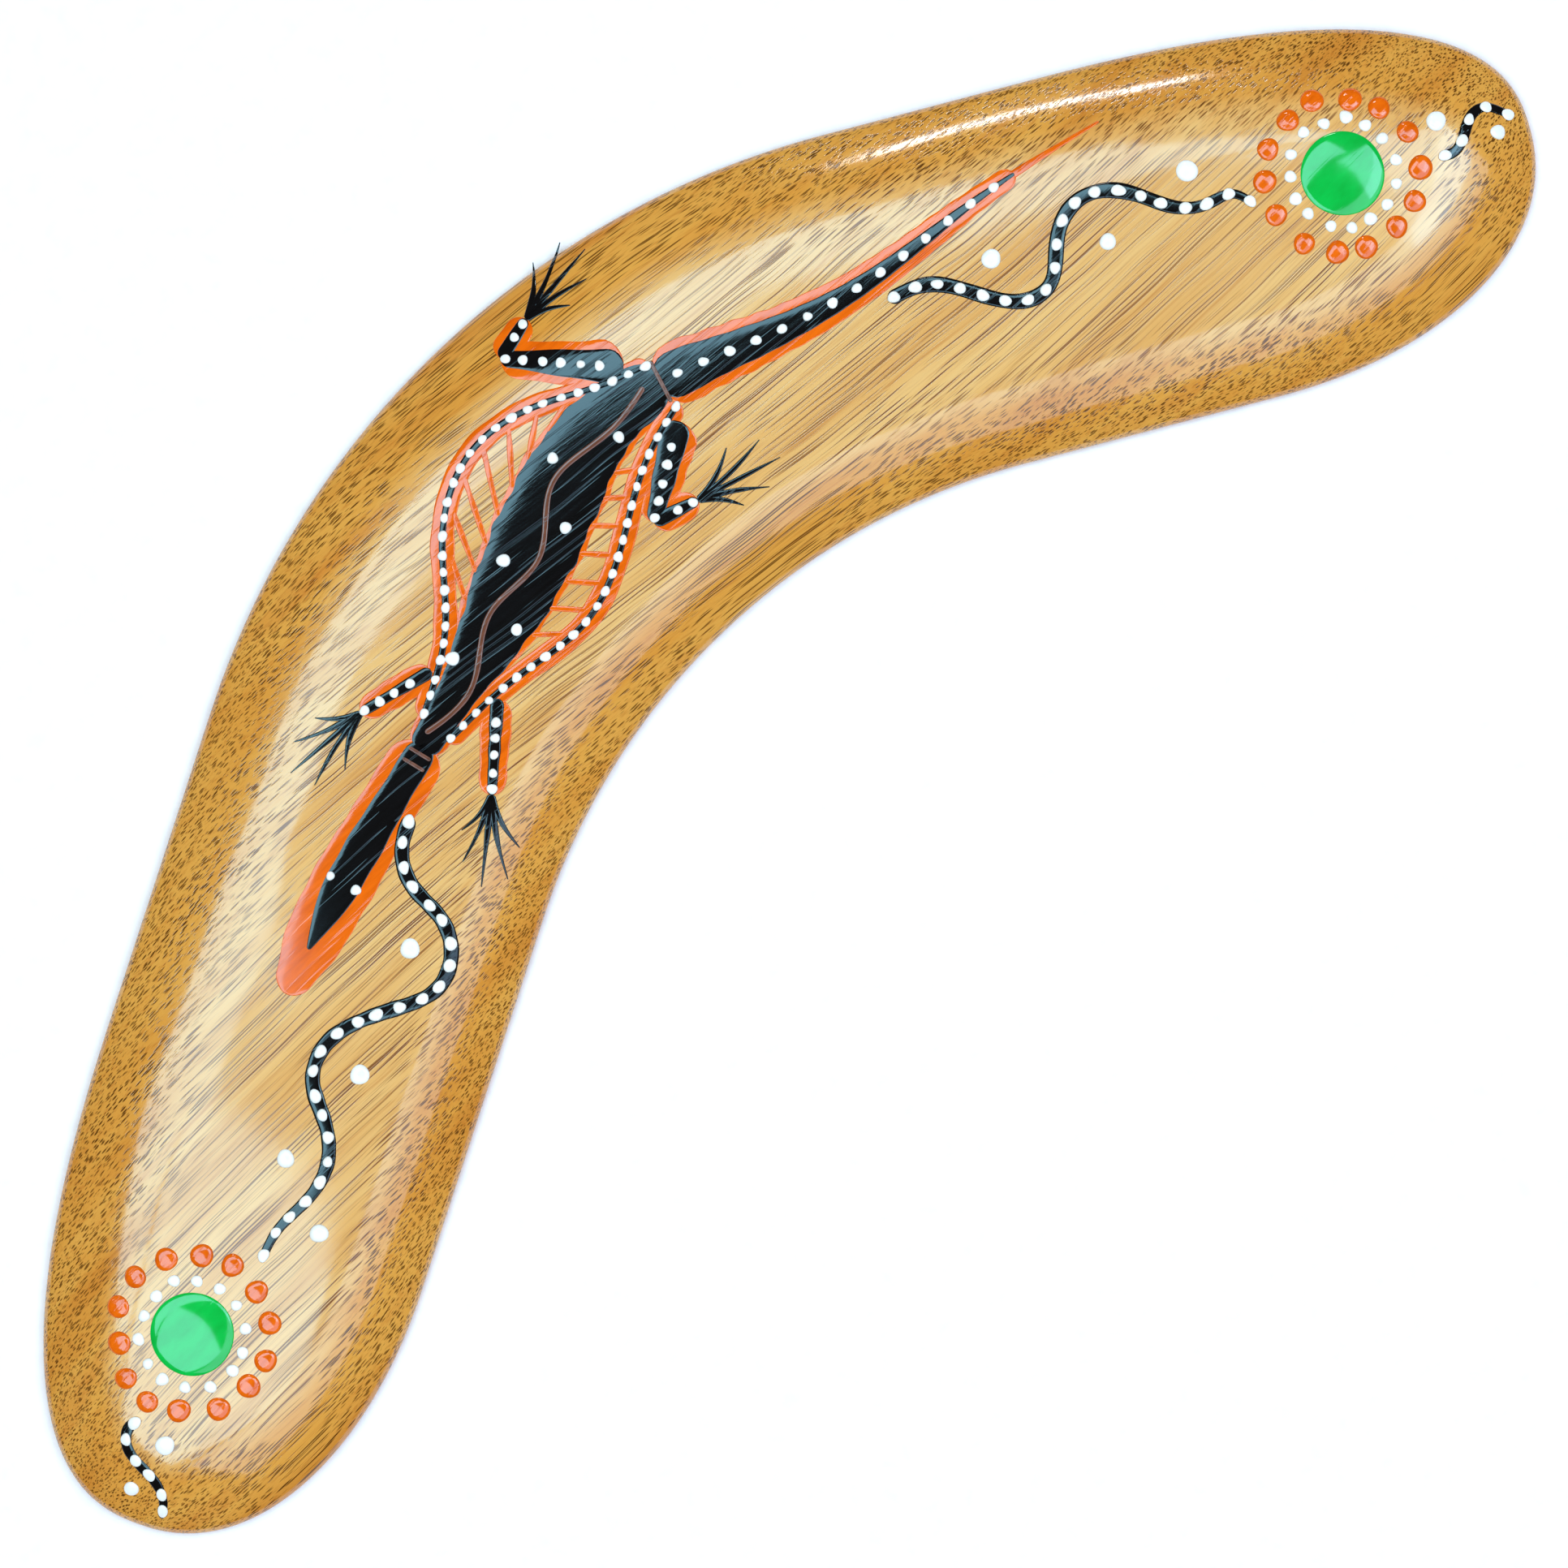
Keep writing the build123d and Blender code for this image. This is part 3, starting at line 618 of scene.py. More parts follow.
def hardwood():
    """Open-pored golden hardwood, sanded and clear-lacquered.

    To the eye: dark pores 0.3 mm wide lie as long lines where the face runs with the grain and
    as short dashes and dots on the bevels. The bevels and their pores carry painted shade, a
    deeper brown set by how far the face tilts from upright.
    """
    material, tree, shader = new_material("lacquered_hardwood")
    raw, grain = grain_space(tree)
    normal = add_node(tree, "ShaderNodeNewGeometry", output="Normal")
    upright = add_node(tree, "ShaderNodeSeparateXYZ", (normal,), 2)
    slope = add_node(tree, "ShaderNodeMapRange", (upright, *FACE_SLOPES, 0.0, 1.0),
                     interpolation_type="SMOOTHSTEP")
    clusters = add_node(tree, "ShaderNodeMapRange", (
        marks(tree, grain, (60, 5, 5), 2, shift=(1, 2, 3)), 0.3, 0.7, 0.0, 1.0),
        interpolation_type="SMOOTHSTEP")

    figure = marks(tree, grain, (120, 7, 9), 3, 0.55, (2, 0, 4))
    figure = add_node(tree, "ShaderNodeValToRGB", (figure,), stops=(
        (0.3, linear("#dba057")), (0.45, linear("#e6b268")), (0.58, linear("#ecbf78")),
        (0.75, linear("#dfa45f"))))
    fibres = marks(tree, grain, (22, 0.35, 0.35), 4, 0.6)
    fibres = add_node(tree, "ShaderNodeValToRGB", (fibres,), stops=(
        (0.3, linear("#cf9f74")), (0.5, linear("#ffffff")), (0.7, linear("#fff4df"))))
    body = add_node(tree, "ShaderNodeMix", {0: 0.5, 6: figure, 7: fibres}, 2,
                    data_type="RGBA", blend_type="MULTIPLY")
    # Painted shade: the bevels are darkened to a deeper brown by how far the face tilts from upright.
    shaded_body = add_node(tree, "ShaderNodeMix", {0: 1.0, 6: body, 7: linear("#f4d99b")}, 2,
                      data_type="RGBA", blend_type="MULTIPLY")
    body = add_node(tree, "ShaderNodeMix", {0: slope, 6: body, 7: shaded_body}, 2, data_type="RGBA")
    # Painted shade: pores on the bevels are painted darker than pores on the flat, by the same tilt.
    dark = add_node(tree, "ShaderNodeMix", {0: slope, 6: linear("#7f4a22"), 7: linear("#61390c")},
                    2, data_type="RGBA")

    strength = add_node(tree, "ShaderNodeMath", (clusters, 0.35, 0.65), operation="MULTIPLY_ADD")
    on_bevel = add_node(tree, "ShaderNodeMath", (slope, 0.85), operation="MULTIPLY")
    strength = add_node(tree, "ShaderNodeMath", (strength, on_bevel), operation="MAXIMUM")
    long_pores = add_node(tree, "ShaderNodeMath", (
        pore_field(tree, grain, *LONG_PORES), strength), operation="MULTIPLY")
    strength = add_node(tree, "ShaderNodeMath", (slope, 0.35, 0.35), operation="MULTIPLY_ADD")
    fine_pores = add_node(tree, "ShaderNodeMath", (
        pore_field(tree, grain, *FINE_PORES), strength), operation="MULTIPLY")
    pores = add_node(tree, "ShaderNodeMath", (long_pores, fine_pores), operation="MAXIMUM")
    colour = add_node(tree, "ShaderNodeMix", {0: pores, 6: body, 7: dark}, 2, data_type="RGBA")

    hollow = add_node(tree, "ShaderNodeMath", (pores, -1.0), operation="MULTIPLY")
    relief = add_node(tree, "ShaderNodeBump",
                      {"Height": hollow, "Strength": 0.5, "Distance": FILM_DEPTH})
    skin = add_node(tree, "ShaderNodeMath", (marks(tree, raw, (2.2, 1.2, 1.2), 2), 0.25),
                    operation="MULTIPLY")
    film = add_node(tree, "ShaderNodeMath", (hollow, 0.5, skin), operation="MULTIPLY_ADD")
    film = add_node(tree, "ShaderNodeBump",
                    {"Height": film, "Strength": 0.35, "Distance": FILM_DEPTH})
    lacquer(tree, shader, colour, 0.6, relief, film)
    return material


def acrylic(name, colour, kind):
    """Acrylic paint under the same lacquer.

    To the eye: an even glossy colour that thins a little along the brush, with the grain of the
    wood beneath still standing through it as fine ridges.
    """
    material, tree, shader = new_material(name)
    grain = grain_space(tree)[1]
    brushed = marks(tree, grain, kind.streaks, 3, 0.6)
    tone = add_node(tree, "ShaderNodeValToRGB", (brushed,),
                    stops=((0.3, linear(kind.shade)), (0.62, colour)))
    brushed = add_node(tree, "ShaderNodeMath", (brushed, 0.6), operation="MULTIPLY")
    ridges = add_node(tree, "ShaderNodeMath", (
        pore_field(tree, grain, *PAINTED_PORES), -1.0, brushed), operation="MULTIPLY_ADD")
    relief = add_node(tree, "ShaderNodeBump",
                      {"Height": ridges, "Strength": kind.ridges, "Distance": FILM_DEPTH})
    lacquer(tree, shader, tone, kind.roughness, relief, relief)
    return material


def paint(colour):
    """The acrylic of one colour, made once and then shared."""
    name = f"{colour}_acrylic"
    made = bpy.data.materials.get(name)
    tone = getattr(bpy.context.scene.boomerang.paints, colour)
    return made or acrylic(name, tone, PAINTS[colour])


def pale_floor(colour):
    """Matt white studio board: an even pale surface with a barely visible tooth."""
    material, tree, shader = new_material("matt_white_board")
    raw = add_node(tree, "ShaderNodeTexCoord", output="Object")
    tooth = marks(tree, raw, (3, 3, 3), 2)
    tone = add_node(tree, "ShaderNodeValToRGB", (tooth,),
                    stops=((0.2, colour), (0.8, linear("#ffffff"))))
    tree.links.new(tone, shader.inputs["Base Color"])
    shader.inputs["Roughness"].default_value = 0.8
    shader.inputs["Specular IOR Level"].default_value = 0.2
    return material


# ==== where the paint lies =========================================================
SETBACK = {"left": 31.0, "right": 30.3}          # nose to the middle of the disc
DISC_OFFSET = {"left": 1.9, "right": 0.5}
WHITE_RING_RADIUS, ORANGE_RING_RADIUS = 8.1, 11.8
WHITE_COUNTS, ORANGE_COUNT = {"left": 14, "right": 15}, 14
TRACK_TO_RING = 0.5
RING_REACH = ORANGE_RING_RADIUS + ORANGE_RING_DOT.radius + TRACK_TO_RING
PLACE_TURN, PLACE_REACH = 0.03, 0.25             # how far a hand misses a place in a ring
TRACK_WIDTHS = {"inner": [1.2, 1.2, 1.2, 1.15, 0.65], "tip": [0.85, 0.85, 0.6]}
TRACK_PITCH = {"inner": 3.5, "tip": 3.3}
TRACK_MARGIN, TRACK_NUDGE = 0.9, 0.2
TRACK_START = {"left": 65.0, "right": 58.7}
INNER_RUNS = {
    "left": [(0, -5.2), (0.07, -5.4), (0.14, -8.6), (0.19, -14.5), (0.25, -17.4), (0.33, -17.2),
             (0.4, -12.2), (0.46, -6.8), (0.52, -3.7), (0.6, -3.4), (0.68, -7.2), (0.76, -9.5),
             (0.85, -8.3), (0.93, -5.5), (1, -4.6)],
    "right": [(0, -0.5), (0.11, 0.3), (0.18, -1.2), (0.28, -4.6), (0.37, -5.8), (0.42, -4.6),
              (0.46, 0.0), (0.5, 4.6), (0.56, 7.0), (0.63, 7.2), (0.71, 5.2), (0.79, 2.2),
              (0.88, 1.3), (0.95, 1.8), (1, -0.6)],
}
TIP_RUNS = {
    "left": [(0.9, 5.4), (2.3, 6.6), (5.1, 6.2), (7.1, 4.0), (9.2, 0.5), (11.9, -1.6), (14.6, -2.0)],
    "right": [(0.7, -0.7), (2.9, -0.7), (5.1, 1.2), (7.3, 4.2), (9.3, 5.0), (11.5, 4.2), (13.7, 2.6)],
}
LOOSE_RUNS = {
    "left": [(0.27, -11.3, 1.6), (0.56, -10.0, 1.5), (0.78, -3.3, 1.35), (0.91, -11.6, 1.4)],
    "right": [(0.29, 1.6, 1.55), (0.6, -0.4, 1.4), (0.85, 6.9, 1.65)],
}
LOOSE_TIPS = {
    "left": [(3.3, 0.6, 1.55), (11.5, 3.6, 1.1)],
    "right": [(1.7, 4.6, 1.5), (10.7, 0.8, 1.2)],
}


def disc_place(side):
    """Middle of the green disc near one nose."""
    return ARMS[side].at(ARMS[side].length - SETBACK[side], DISC_OFFSET[side])


def along_track(side, shares):
    """Distance along an arm, from shares of the way between the lizard and the ring."""
    start = TRACK_START[side]
    end = ARMS[side].length - SETBACK[side] - RING_REACH
    return start + np.asarray(shares) * (end - start)


def beyond_ring(side, steps, offsets):
    """Plan points between the ring and the nose, from distances beyond the ring's reach."""
    return ARMS[side].at(ARMS[side].length - SETBACK[side] + RING_REACH + steps, offsets)


def inner_track(side):
    """Centreline of the wavy track between the lizard and the ring."""
    shares, offsets = np.array(INNER_RUNS[side], float).T
    return Path(ARMS[side].at(along_track(side, shares), offsets))


def tip_track(side):
    """Centreline of the short track between the ring and the nose."""
    steps, offsets = np.array(TIP_RUNS[side], float).T
    return Path(beyond_ring(side, steps, offsets))


def ring_places(centre, radius, count, random):
    """Hand-placed ring: evenly spaced turns from the top, each nudged a little."""
    turns = pi / 2 + 2 * pi * np.arange(count) / count
    turns = turns + random.normal(0, PLACE_TURN, count)
    reach = radius + random.normal(0, PLACE_REACH, count)
    return centre + np.stack([reach * np.cos(turns), reach * np.sin(turns)], -1)


def spaced(path, pitch, margin, random, nudge=0.1):
    """Shares of a path about one pitch apart, each nudged a little along it."""
    count = max(1, round((path.length - 2 * margin) / pitch))
    run = margin + (path.length - 2 * margin) * np.arange(count + 1) / count
    return np.clip((run + random.normal(0, nudge, count + 1)) / path.length, 0, 1)


# ---- the lizard: a plain one, built out from a curved spine -----------------------
def on_elbow(points):
    """Plan points measured from the middle of the elbow."""
    return ELBOW.middle + np.asarray(points, float)


SPINE = Path(on_elbow([(-88, -22.6), (-76, -18.6), (-60, -14.2), (-44, -10.4), (-25, -5.6), (-5, 1.2),
                       (10, 4.4), (20, 2.4), (35, -3.8), (52, -9.1), (72, -12.1), (94, -17)]))
NOSE_TIP, SNOUT, EYES, NECK, HIP, TAIL_END = 0.01, 0.05, 0.11, 0.24, 0.585, 0.92   # its shares
LAP, WHIP_LAP = 0.01, 0.03                       # shares by which one stroke runs over the next
BODY_WOBBLE, FINE_WOBBLE = 0.04, 0.15
HEAD_WIDTHS = [0.3, 2.4, 3.0, 2.8, 2.5, 2.5]
BODY_WIDTHS = [2.5, 3.4, 5.6, 6.8, 6.6, 5.4, 4.2]
TAIL_WIDTHS = [4.2, 3.3, 2.6, 2.0, 1.5, 1.1, 0.7, 0.3]
WHIP_WIDTHS = [0.9, 0.5, 0.2]
OUTLINE_MARGIN, HEAD_MARGIN, BODY_MARGIN = 1.25, 1.9, 0.5
BORDER_WIDTHS = [0.55, 0.55, 0.55]
BORDER_PITCH, BORDER_DOT_MARGIN = 2.75, 0.7
BORDERS = {
    "left": Path(on_elbow([(-42, -7.4), (-30, -0.4), (-20, 10), (-8, 15.6), (4, 13.2), (13, 8.4),
                           (20, 5.6)])),
    "right": Path(on_elbow([(-42, -12.6), (-28, -13.2), (-14, -14.8), (-1, -9.8), (9, -4.4),
                            (19, -1.6)])),
}
LEGS = {
    "front_left": ([(-36, -3.4), (-48, -0.2)], [1.1, 0.8]),
    "front_right": ([(-32, -13.4), (-43, -23)], [1.2, 0.8]),
    "hind_left": ([(17, 8), (5, 22.4), (12, 24)], [3.0, 1.3, 0.9]),
    "hind_right": ([(17, -3.4), (3.5, -11.6), (10.6, -14)], [2.6, 1.3, 0.9]),
}
TOE_HEADINGS = {"front_left": 175, "front_right": 218, "hind_left": 5, "hind_right": -18}
TOE_LENGTHS = [7, 11, 14, 13, 9]
TOE_WIDTHS = [0.55, 0.4, 0.08]
TOE_SPREAD, TOE_BEND = radians(17.0), radians(4.0)
LEG_PITCH, LEG_DOT_START, LEG_DOT_MARGIN, LEG_NUDGE = 2.7, 0.8, 2.0, 0.01
HATCH_COUNT = 7
HATCH_WIDTHS = [0.4, 0.45, 0.35]
HATCH_ROOTS, HATCH_FEET = (0.3, 0.8), (0.36, 0.86)         # shares of the body and the border
LINE_WIDTHS = [0.52, 0.52, 0.52]
LINE_BENDS, LINE_SWING, LINE_SPAN = 7, 1.5, (0.02, 0.97)
BAND_WIDTHS = [0.35, 0.35, 0.35]
BANDS = {                                        # shares of the spine, and half the length
    "neck_bands": ((NECK - 0.01, NECK - 0.02), 1.9),
    "hip_band": ((HIP + 0.005,), 3.5),
}
BACK_COUNT, BACK_START, BACK_PITCH, BACK_OFFSET = 6, 0.2, 0.13, 3.2
TAIL_COUNT, TAIL_MARGIN = 14, 0.02
EYE_OFFSET = 2.2
SEED_STEP = 10                                   # between one leg's or flank's seeds and the next


def grown(widths, margin):
    """The same half-widths with a margin added all along."""
    return [width + margin for width in widths]


def leg_paths(name):
    """Straight paths of a leg, from the body to the knee and on to the ankle."""
    joints = on_elbow(LEGS[name][0])
    return [Path(joints[i:i + 2]) for i in range(len(joints) - 1)]


def toe_paths(name, wrist):
    """A leg's toes, fanned out from the wrist, each bent a little halfway along."""
    paths = []
    for i, reach in enumerate(TOE_LENGTHS):
        place = i - (len(TOE_LENGTHS) - 1) / 2
        turn = radians(TOE_HEADINGS[name]) + TOE_SPREAD * place
        bent = turn - TOE_BEND * place
        middle = wrist + reach / 2 * np.array([cos(bent), sin(bent)])
        tip = wrist + reach * np.array([cos(turn), sin(turn)])
        paths.append(Path([wrist, middle, tip]))
    return paths


# ==== settings =====================================================================
class BlankSettings(bpy.types.PropertyGroup):
    """How the wood was shaped and sanded, and how finely the strokes on it are drawn."""

    crown: bpy.props.FloatProperty(
        name="Crown", description="Rise of the face from its bevels to its middle",
        default=0.9 * MM, unit="LENGTH")
    unevenness: bpy.props.FloatProperty(
        name="Unevenness", description="Depth of the slow waves that hand sanding leaves",
        default=0.3 * MM, unit="LENGTH")
    stroke_step: bpy.props.FloatProperty(
        name="Stroke step", description="Spacing of the stations along a brush stroke",
        default=0.5 * MM, unit="LENGTH")


class PaintSettings(bpy.types.PropertyGroup):
    """Full colour of each paint."""

    black: bpy.props.FloatVectorProperty(
        name="Black", description="Paint of the tracks and the lizard",
        default=linear("#08080a"), size=4, subtype="COLOR")
    orange: bpy.props.FloatVectorProperty(
        name="Orange", description="Paint of the outer rings and the lizard's outline",
        default=linear("#f46c06"), size=4, subtype="COLOR")
    white: bpy.props.FloatVectorProperty(
        name="White", description="Paint of the dots and the inner rings",
        default=linear("#fdfef8"), size=4, subtype="COLOR")
    green: bpy.props.FloatVectorProperty(
        name="Green", description="Paint of the discs",
        default=linear("#00bf45"), size=4, subtype="COLOR")
    brown: bpy.props.FloatVectorProperty(
        name="Brown", description="Paint of the lines on the lizard's back",
        default=linear("#7a4a36"), size=4, subtype="COLOR")


class StageSettings(bpy.types.PropertyGroup):
    """Floor, lights and camera."""

    camera_height: bpy.props.FloatProperty(
        name="Camera height", description="Height of the camera above the blank's rim",
        default=0.75, unit="LENGTH")
    camera_turn: bpy.props.FloatProperty(
        name="Camera turn", description="How far the tip-to-tip line is turned in the picture",
        default=radians(45.5), unit="ROTATION")
    view_width: bpy.props.FloatProperty(
        name="View width", description="Width of the floor that the picture takes in",
        default=238.6 * MM, unit="LENGTH")
    window_glow: bpy.props.FloatProperty(
        name="Window glow", description="Radiance of the three cool windows", default=4.8)
    edge_glow: bpy.props.FloatProperty(
        name="Edge glow", description="Radiance of the narrow strip that edges the right arm",
        default=22.0)
    fill_glow: bpy.props.FloatProperty(
        name="Fill glow", description="Radiance of the panel that the inner bevel reflects",
        default=2.3)
    ceiling_glow: bpy.props.FloatProperty(
        name="Ceiling glow", description="Radiance of the warm ceiling, which isn't reflected",
        default=1.08)
    room_glow: bpy.props.FloatProperty(
        name="Room glow", description="Brightness of the rest of the room", default=0.06)
    floor_tone: bpy.props.FloatVectorProperty(
        name="Floor tone", description="Colour of the studio board",
        default=linear("#f6f6f6"), size=4, subtype="COLOR")


class BoomerangSettings(bpy.types.PropertyGroup):
    """All the settings of the object and its stage."""

    blank: bpy.props.PointerProperty(type=BlankSettings)
    paints: bpy.props.PointerProperty(type=PaintSettings)
    stage: bpy.props.PointerProperty(type=StageSettings)


# ==== operators ====================================================================
ROUND_STATIONS = 6               # stations over each rounded edge of the blank
BEVEL_STATIONS = 25
TOP_STATIONS, BASE_STATIONS = 12, 8
TOP_CROWDING = 0.9               # power that draws the top's stations towards its middle
DRAW_BACK = 9.0                  # from the bevels' inner edge at a nose to the middle line


class BOOMERANG_OT_blank(bpy.types.Operator):
    """Carve the wooden blank with its bevels, rounded edges and flat underside"""

    bl_idname = "boomerang.blank"
    bl_label = "Wooden blank"

    def execute(self, context):
        """Loops run up the edge, in over the bevels and close on a line along the middle."""
        settings = context.scene.boomerang.blank
        edge_width = EDGE_ROUND / BEVEL["outer"]
        turn = np.linspace(0, pi / 2, ROUND_STATIONS)
        levels = np.concatenate([
            edge_width * (1 - np.sin(turn)),
            edge_width * (1 - np.cos(turn)),
            np.linspace(edge_width, 1, BEVEL_STATIONS)[1:],
        ])
        edges = {edge: edge_points(ARMS, ELBOW, levels, edge, OUTLINE_STEPS) for edge in BEVEL}
        spine = self.middle_line(edges)
        loops = np.concatenate([edges["outer"], edges["inner"][:, -2:0:-1]], 1)
        targets = np.concatenate([spine, spine[-2:0:-1]])
        top_share = np.linspace(0, 1, TOP_STATIONS)[1:, None, None] ** TOP_CROWDING
        base_share = np.linspace(1, 0, BASE_STATIONS)[:-1, None, None]
        top = loops[-1] + (targets - loops[-1]) * top_share
        base = loops[0] + (targets - loops[0]) * base_share
        heights = [
            np.zeros(base.shape[:2]),
            np.repeat(EDGE_ROUND * (1 - np.cos(turn))[:, None], loops.shape[1], 1),
            face_height(loops[ROUND_STATIONS:], settings),
            face_height(top, settings),
        ]
        plan = np.concatenate([base, loops, top])
        rows, around = plan.shape[:2]
        grid = np.concatenate([plan, np.concatenate(heights)[..., None]], -1)
        index = np.arange(rows * around).reshape(rows, around)
        mirror = (around - np.arange(around)) % around
        half = around // 2
        for row in (0, rows - 1):
            index[row, half + 1:] = index[row, mirror[half + 1:]]
        after = np.roll(index, -1, axis=1)
        quads = np.stack([index[:-1], after[:-1], after[1:], index[1:]], -1).reshape(-1, 4)
        used, flat = np.unique(quads, return_inverse=True)
        add_piece("wood_blank_lacquered", grid.reshape(-1, 3)[used], flat.reshape(-1, 4),
                  np.zeros((0, 3), int), hardwood(), "wood", "wood_blank")
        return {"FINISHED"}

    @staticmethod
    def middle_line(edges):
        """Line between the bevels' inner edges, drawn back a little from each nose."""
        line = (edges["outer"][-1] + edges["inner"][-1]) / 2
        steps = OUTLINE_STEPS["nose"]
        turn = np.linspace(0, pi / 2, steps + 1)
        run = (NOSE_RUN["outer"] + NOSE_RUN["inner"]) / 2
        for side, spot in (("right", slice(0, steps + 1)), ("left", slice(-1, -steps - 2, -1))):
            arm = ARMS[side]
            offset = arm.measure(line[spot])[1]
            distance = arm.length - run + (run - NOSE_BEVEL - DRAW_BACK) * np.cos(turn)
            line[spot] = arm.at(distance, offset)
        return line


class BOOMERANG_OT_discs(bpy.types.Operator):
    """Pour the two green discs"""

    bl_idname = "boomerang.discs"
    bl_label = "Green discs"

    def execute(self, context):
        settings = context.scene.boomerang.blank
        for number, side in enumerate(ARMS):
            disc = Bundle()
            add_drops(disc, settings, disc_place(side), DISC, SEEDS["disc"] + number)
            disc.piece(f"green_disc_{side}", "green")
        return {"FINISHED"}


class BOOMERANG_OT_rings(bpy.types.Operator):
    """Dot the white and orange rings round the discs"""

    bl_idname = "boomerang.rings"
    bl_label = "Dotted rings"

    def execute(self, context):
        settings = context.scene.boomerang.blank
        for number, side in enumerate(ARMS):
            random = np.random.default_rng(SEEDS["ring_places"] + number)
            for colour, radius, count, dot in (
                    ("white", WHITE_RING_RADIUS, WHITE_COUNTS[side], WHITE_RING_DOT),
                    ("orange", ORANGE_RING_RADIUS, ORANGE_COUNT, ORANGE_RING_DOT)):
                ring = Bundle()
                places = ring_places(disc_place(side), radius, count, random)
                add_drops(ring, settings, places, dot, SEEDS[f"{colour}_ring"] + number)
                ring.piece(f"{colour}_ring_{side}", colour)
        return {"FINISHED"}


class BOOMERANG_OT_tracks(bpy.types.Operator):
    """Paint the wavy black tracks and dot them"""

    bl_idname = "boomerang.tracks"
    bl_label = "Dotted tracks"

    def execute(self, context):
        settings = context.scene.boomerang.blank
        for number, side in enumerate(ARMS):
            paths = {"inner": inner_track(side), "tip": tip_track(side)}
            for name, path in paths.items():
                random = np.random.default_rng(SEEDS["track_places"] + number)
                track, dots = Bundle(), Bundle()
                add_stroke(track, settings, path, TRACK_WIDTHS[name], BLACK_COAT,
                           SEEDS["track"] + number)
                shares = spaced(path, TRACK_PITCH[name], TRACK_MARGIN, random, TRACK_NUDGE)
                add_drops(dots, settings, path.at(shares), TRACK_DOT, SEEDS["track_dots"] + number,
                          BLACK_COAT, path.heading(shares))
                track.piece(f"track_{side}_{name}", "black")
                dots.piece(f"track_{side}_{name}_dots", "white")
        return {"FINISHED"}


class BOOMERANG_OT_loose_dots(bpy.types.Operator):
    """Set the large loose dots beside the tracks"""

    bl_idname = "boomerang.loose_dots"
    bl_label = "Loose dots"

    def execute(self, context):
        settings = context.scene.boomerang.blank
        for number, side in enumerate(ARMS):
            shares, offsets, radii = np.array(LOOSE_RUNS[side], float).T
            steps, tip_offsets, tip_radii = np.array(LOOSE_TIPS[side], float).T
            beside = ARMS[side].at(along_track(side, shares), offsets)
            near_nose = beyond_ring(side, steps, tip_offsets)
            dots = Bundle()
            add_drops(dots, settings, np.concatenate([beside, near_nose]), LOOSE_DOT,
                      SEEDS["loose_dots"] + number, radii=np.concatenate([radii, tip_radii]))
            dots.piece(f"loose_dots_{side}", "white")
        return {"FINISHED"}


class BOOMERANG_OT_lizard_body(bpy.types.Operator):
    """Paint the lizard's orange outline and its black head, body and tail"""

    bl_idname = "boomerang.lizard_body"
    bl_label = "Lizard body"

    def execute(self, context):
        settings = context.scene.boomerang.blank
        outline = Bundle()
        spans = (
            (HEAD_WIDTHS, HEAD_MARGIN, NOSE_TIP, NECK),
            (BODY_WIDTHS, BODY_MARGIN, NECK - LAP, HIP + LAP),
            (TAIL_WIDTHS, OUTLINE_MARGIN, HIP, TAIL_END),
            (WHIP_WIDTHS, 0.0, TAIL_END - WHIP_LAP, 1.0),
        )
        for number, (widths, margin, first, last) in enumerate(spans):
            add_stroke(outline, settings, SPINE, grown(widths, margin), ORANGE_COAT,
                       SEEDS["outline"] + number, first, last, BODY_WOBBLE)
        for number, path in enumerate(BORDERS.values()):
            add_stroke(outline, settings, path, grown(BORDER_WIDTHS, OUTLINE_MARGIN), ORANGE_COAT,
                       SEEDS["border_outline"] + number)
        outline.piece("lizard_outline", "orange")
        spans = {
            "lizard_head": (HEAD_WIDTHS, SNOUT, NECK),
            "lizard_body": (BODY_WIDTHS, NECK - LAP, HIP + LAP),
            "lizard_tail": (TAIL_WIDTHS, HIP, TAIL_END),
        }
        for number, (name, (widths, first, last)) in enumerate(spans.items()):
            black = Bundle()
            add_stroke(black, settings, SPINE, widths, BLACK_COAT, SEEDS["body"] + number, first,
                       last, BODY_WOBBLE)
            black.piece(name, "black")
        return {"FINISHED"}


class BOOMERANG_OT_flanks(bpy.types.Operator):
    """Paint the flanks' black borders and orange hatching, and dot the borders"""

    bl_idname = "boomerang.flanks"
    bl_label = "Flanks"

    def execute(self, context):
        settings = context.scene.boomerang.blank
        middles = (np.arange(HATCH_COUNT) + 0.5) / HATCH_COUNT
        body_shares = np.linspace(0, 1, len(BODY_WIDTHS))
        for number, (side, path) in enumerate(BORDERS.items()):
            sign = 1 if side == "left" else -1
            border, hatching, dots = Bundle(), Bundle(), Bundle()
            add_stroke(border, settings, path, BORDER_WIDTHS, BLACK_COAT, SEEDS["border"] + number)
            roots = HATCH_ROOTS[0] + (HATCH_ROOTS[1] - HATCH_ROOTS[0]) * middles
            feet = HATCH_FEET[0] + (HATCH_FEET[1] - HATCH_FEET[0]) * middles
            half = np.interp(roots, body_shares, BODY_WIDTHS)
            starts = SPINE.beside(NECK + (HIP - NECK) * roots, sign * half)
            for i, ends in enumerate(zip(starts, path.at(feet))):
                seed = SEEDS["hatching"] + SEED_STEP * number + i
                add_stroke(hatching, settings, Path(ends), HATCH_WIDTHS, HATCH_COAT, seed,
                           wobble=FINE_WOBBLE)
            random = np.random.default_rng(SEEDS["border_places"] + number)
            shares = spaced(path, BORDER_PITCH, BORDER_DOT_MARGIN, random)
            add_drops(dots, settings, path.at(shares), BORDER_DOT, SEEDS["border_dots"] + number,
                      BLACK_COAT, path.heading(shares))
            border.piece(f"flank_border_{side}", "black")
            hatching.piece(f"flank_hatching_{side}", "orange")
            dots.piece(f"border_dots_{side}", "white")
        return {"FINISHED"}


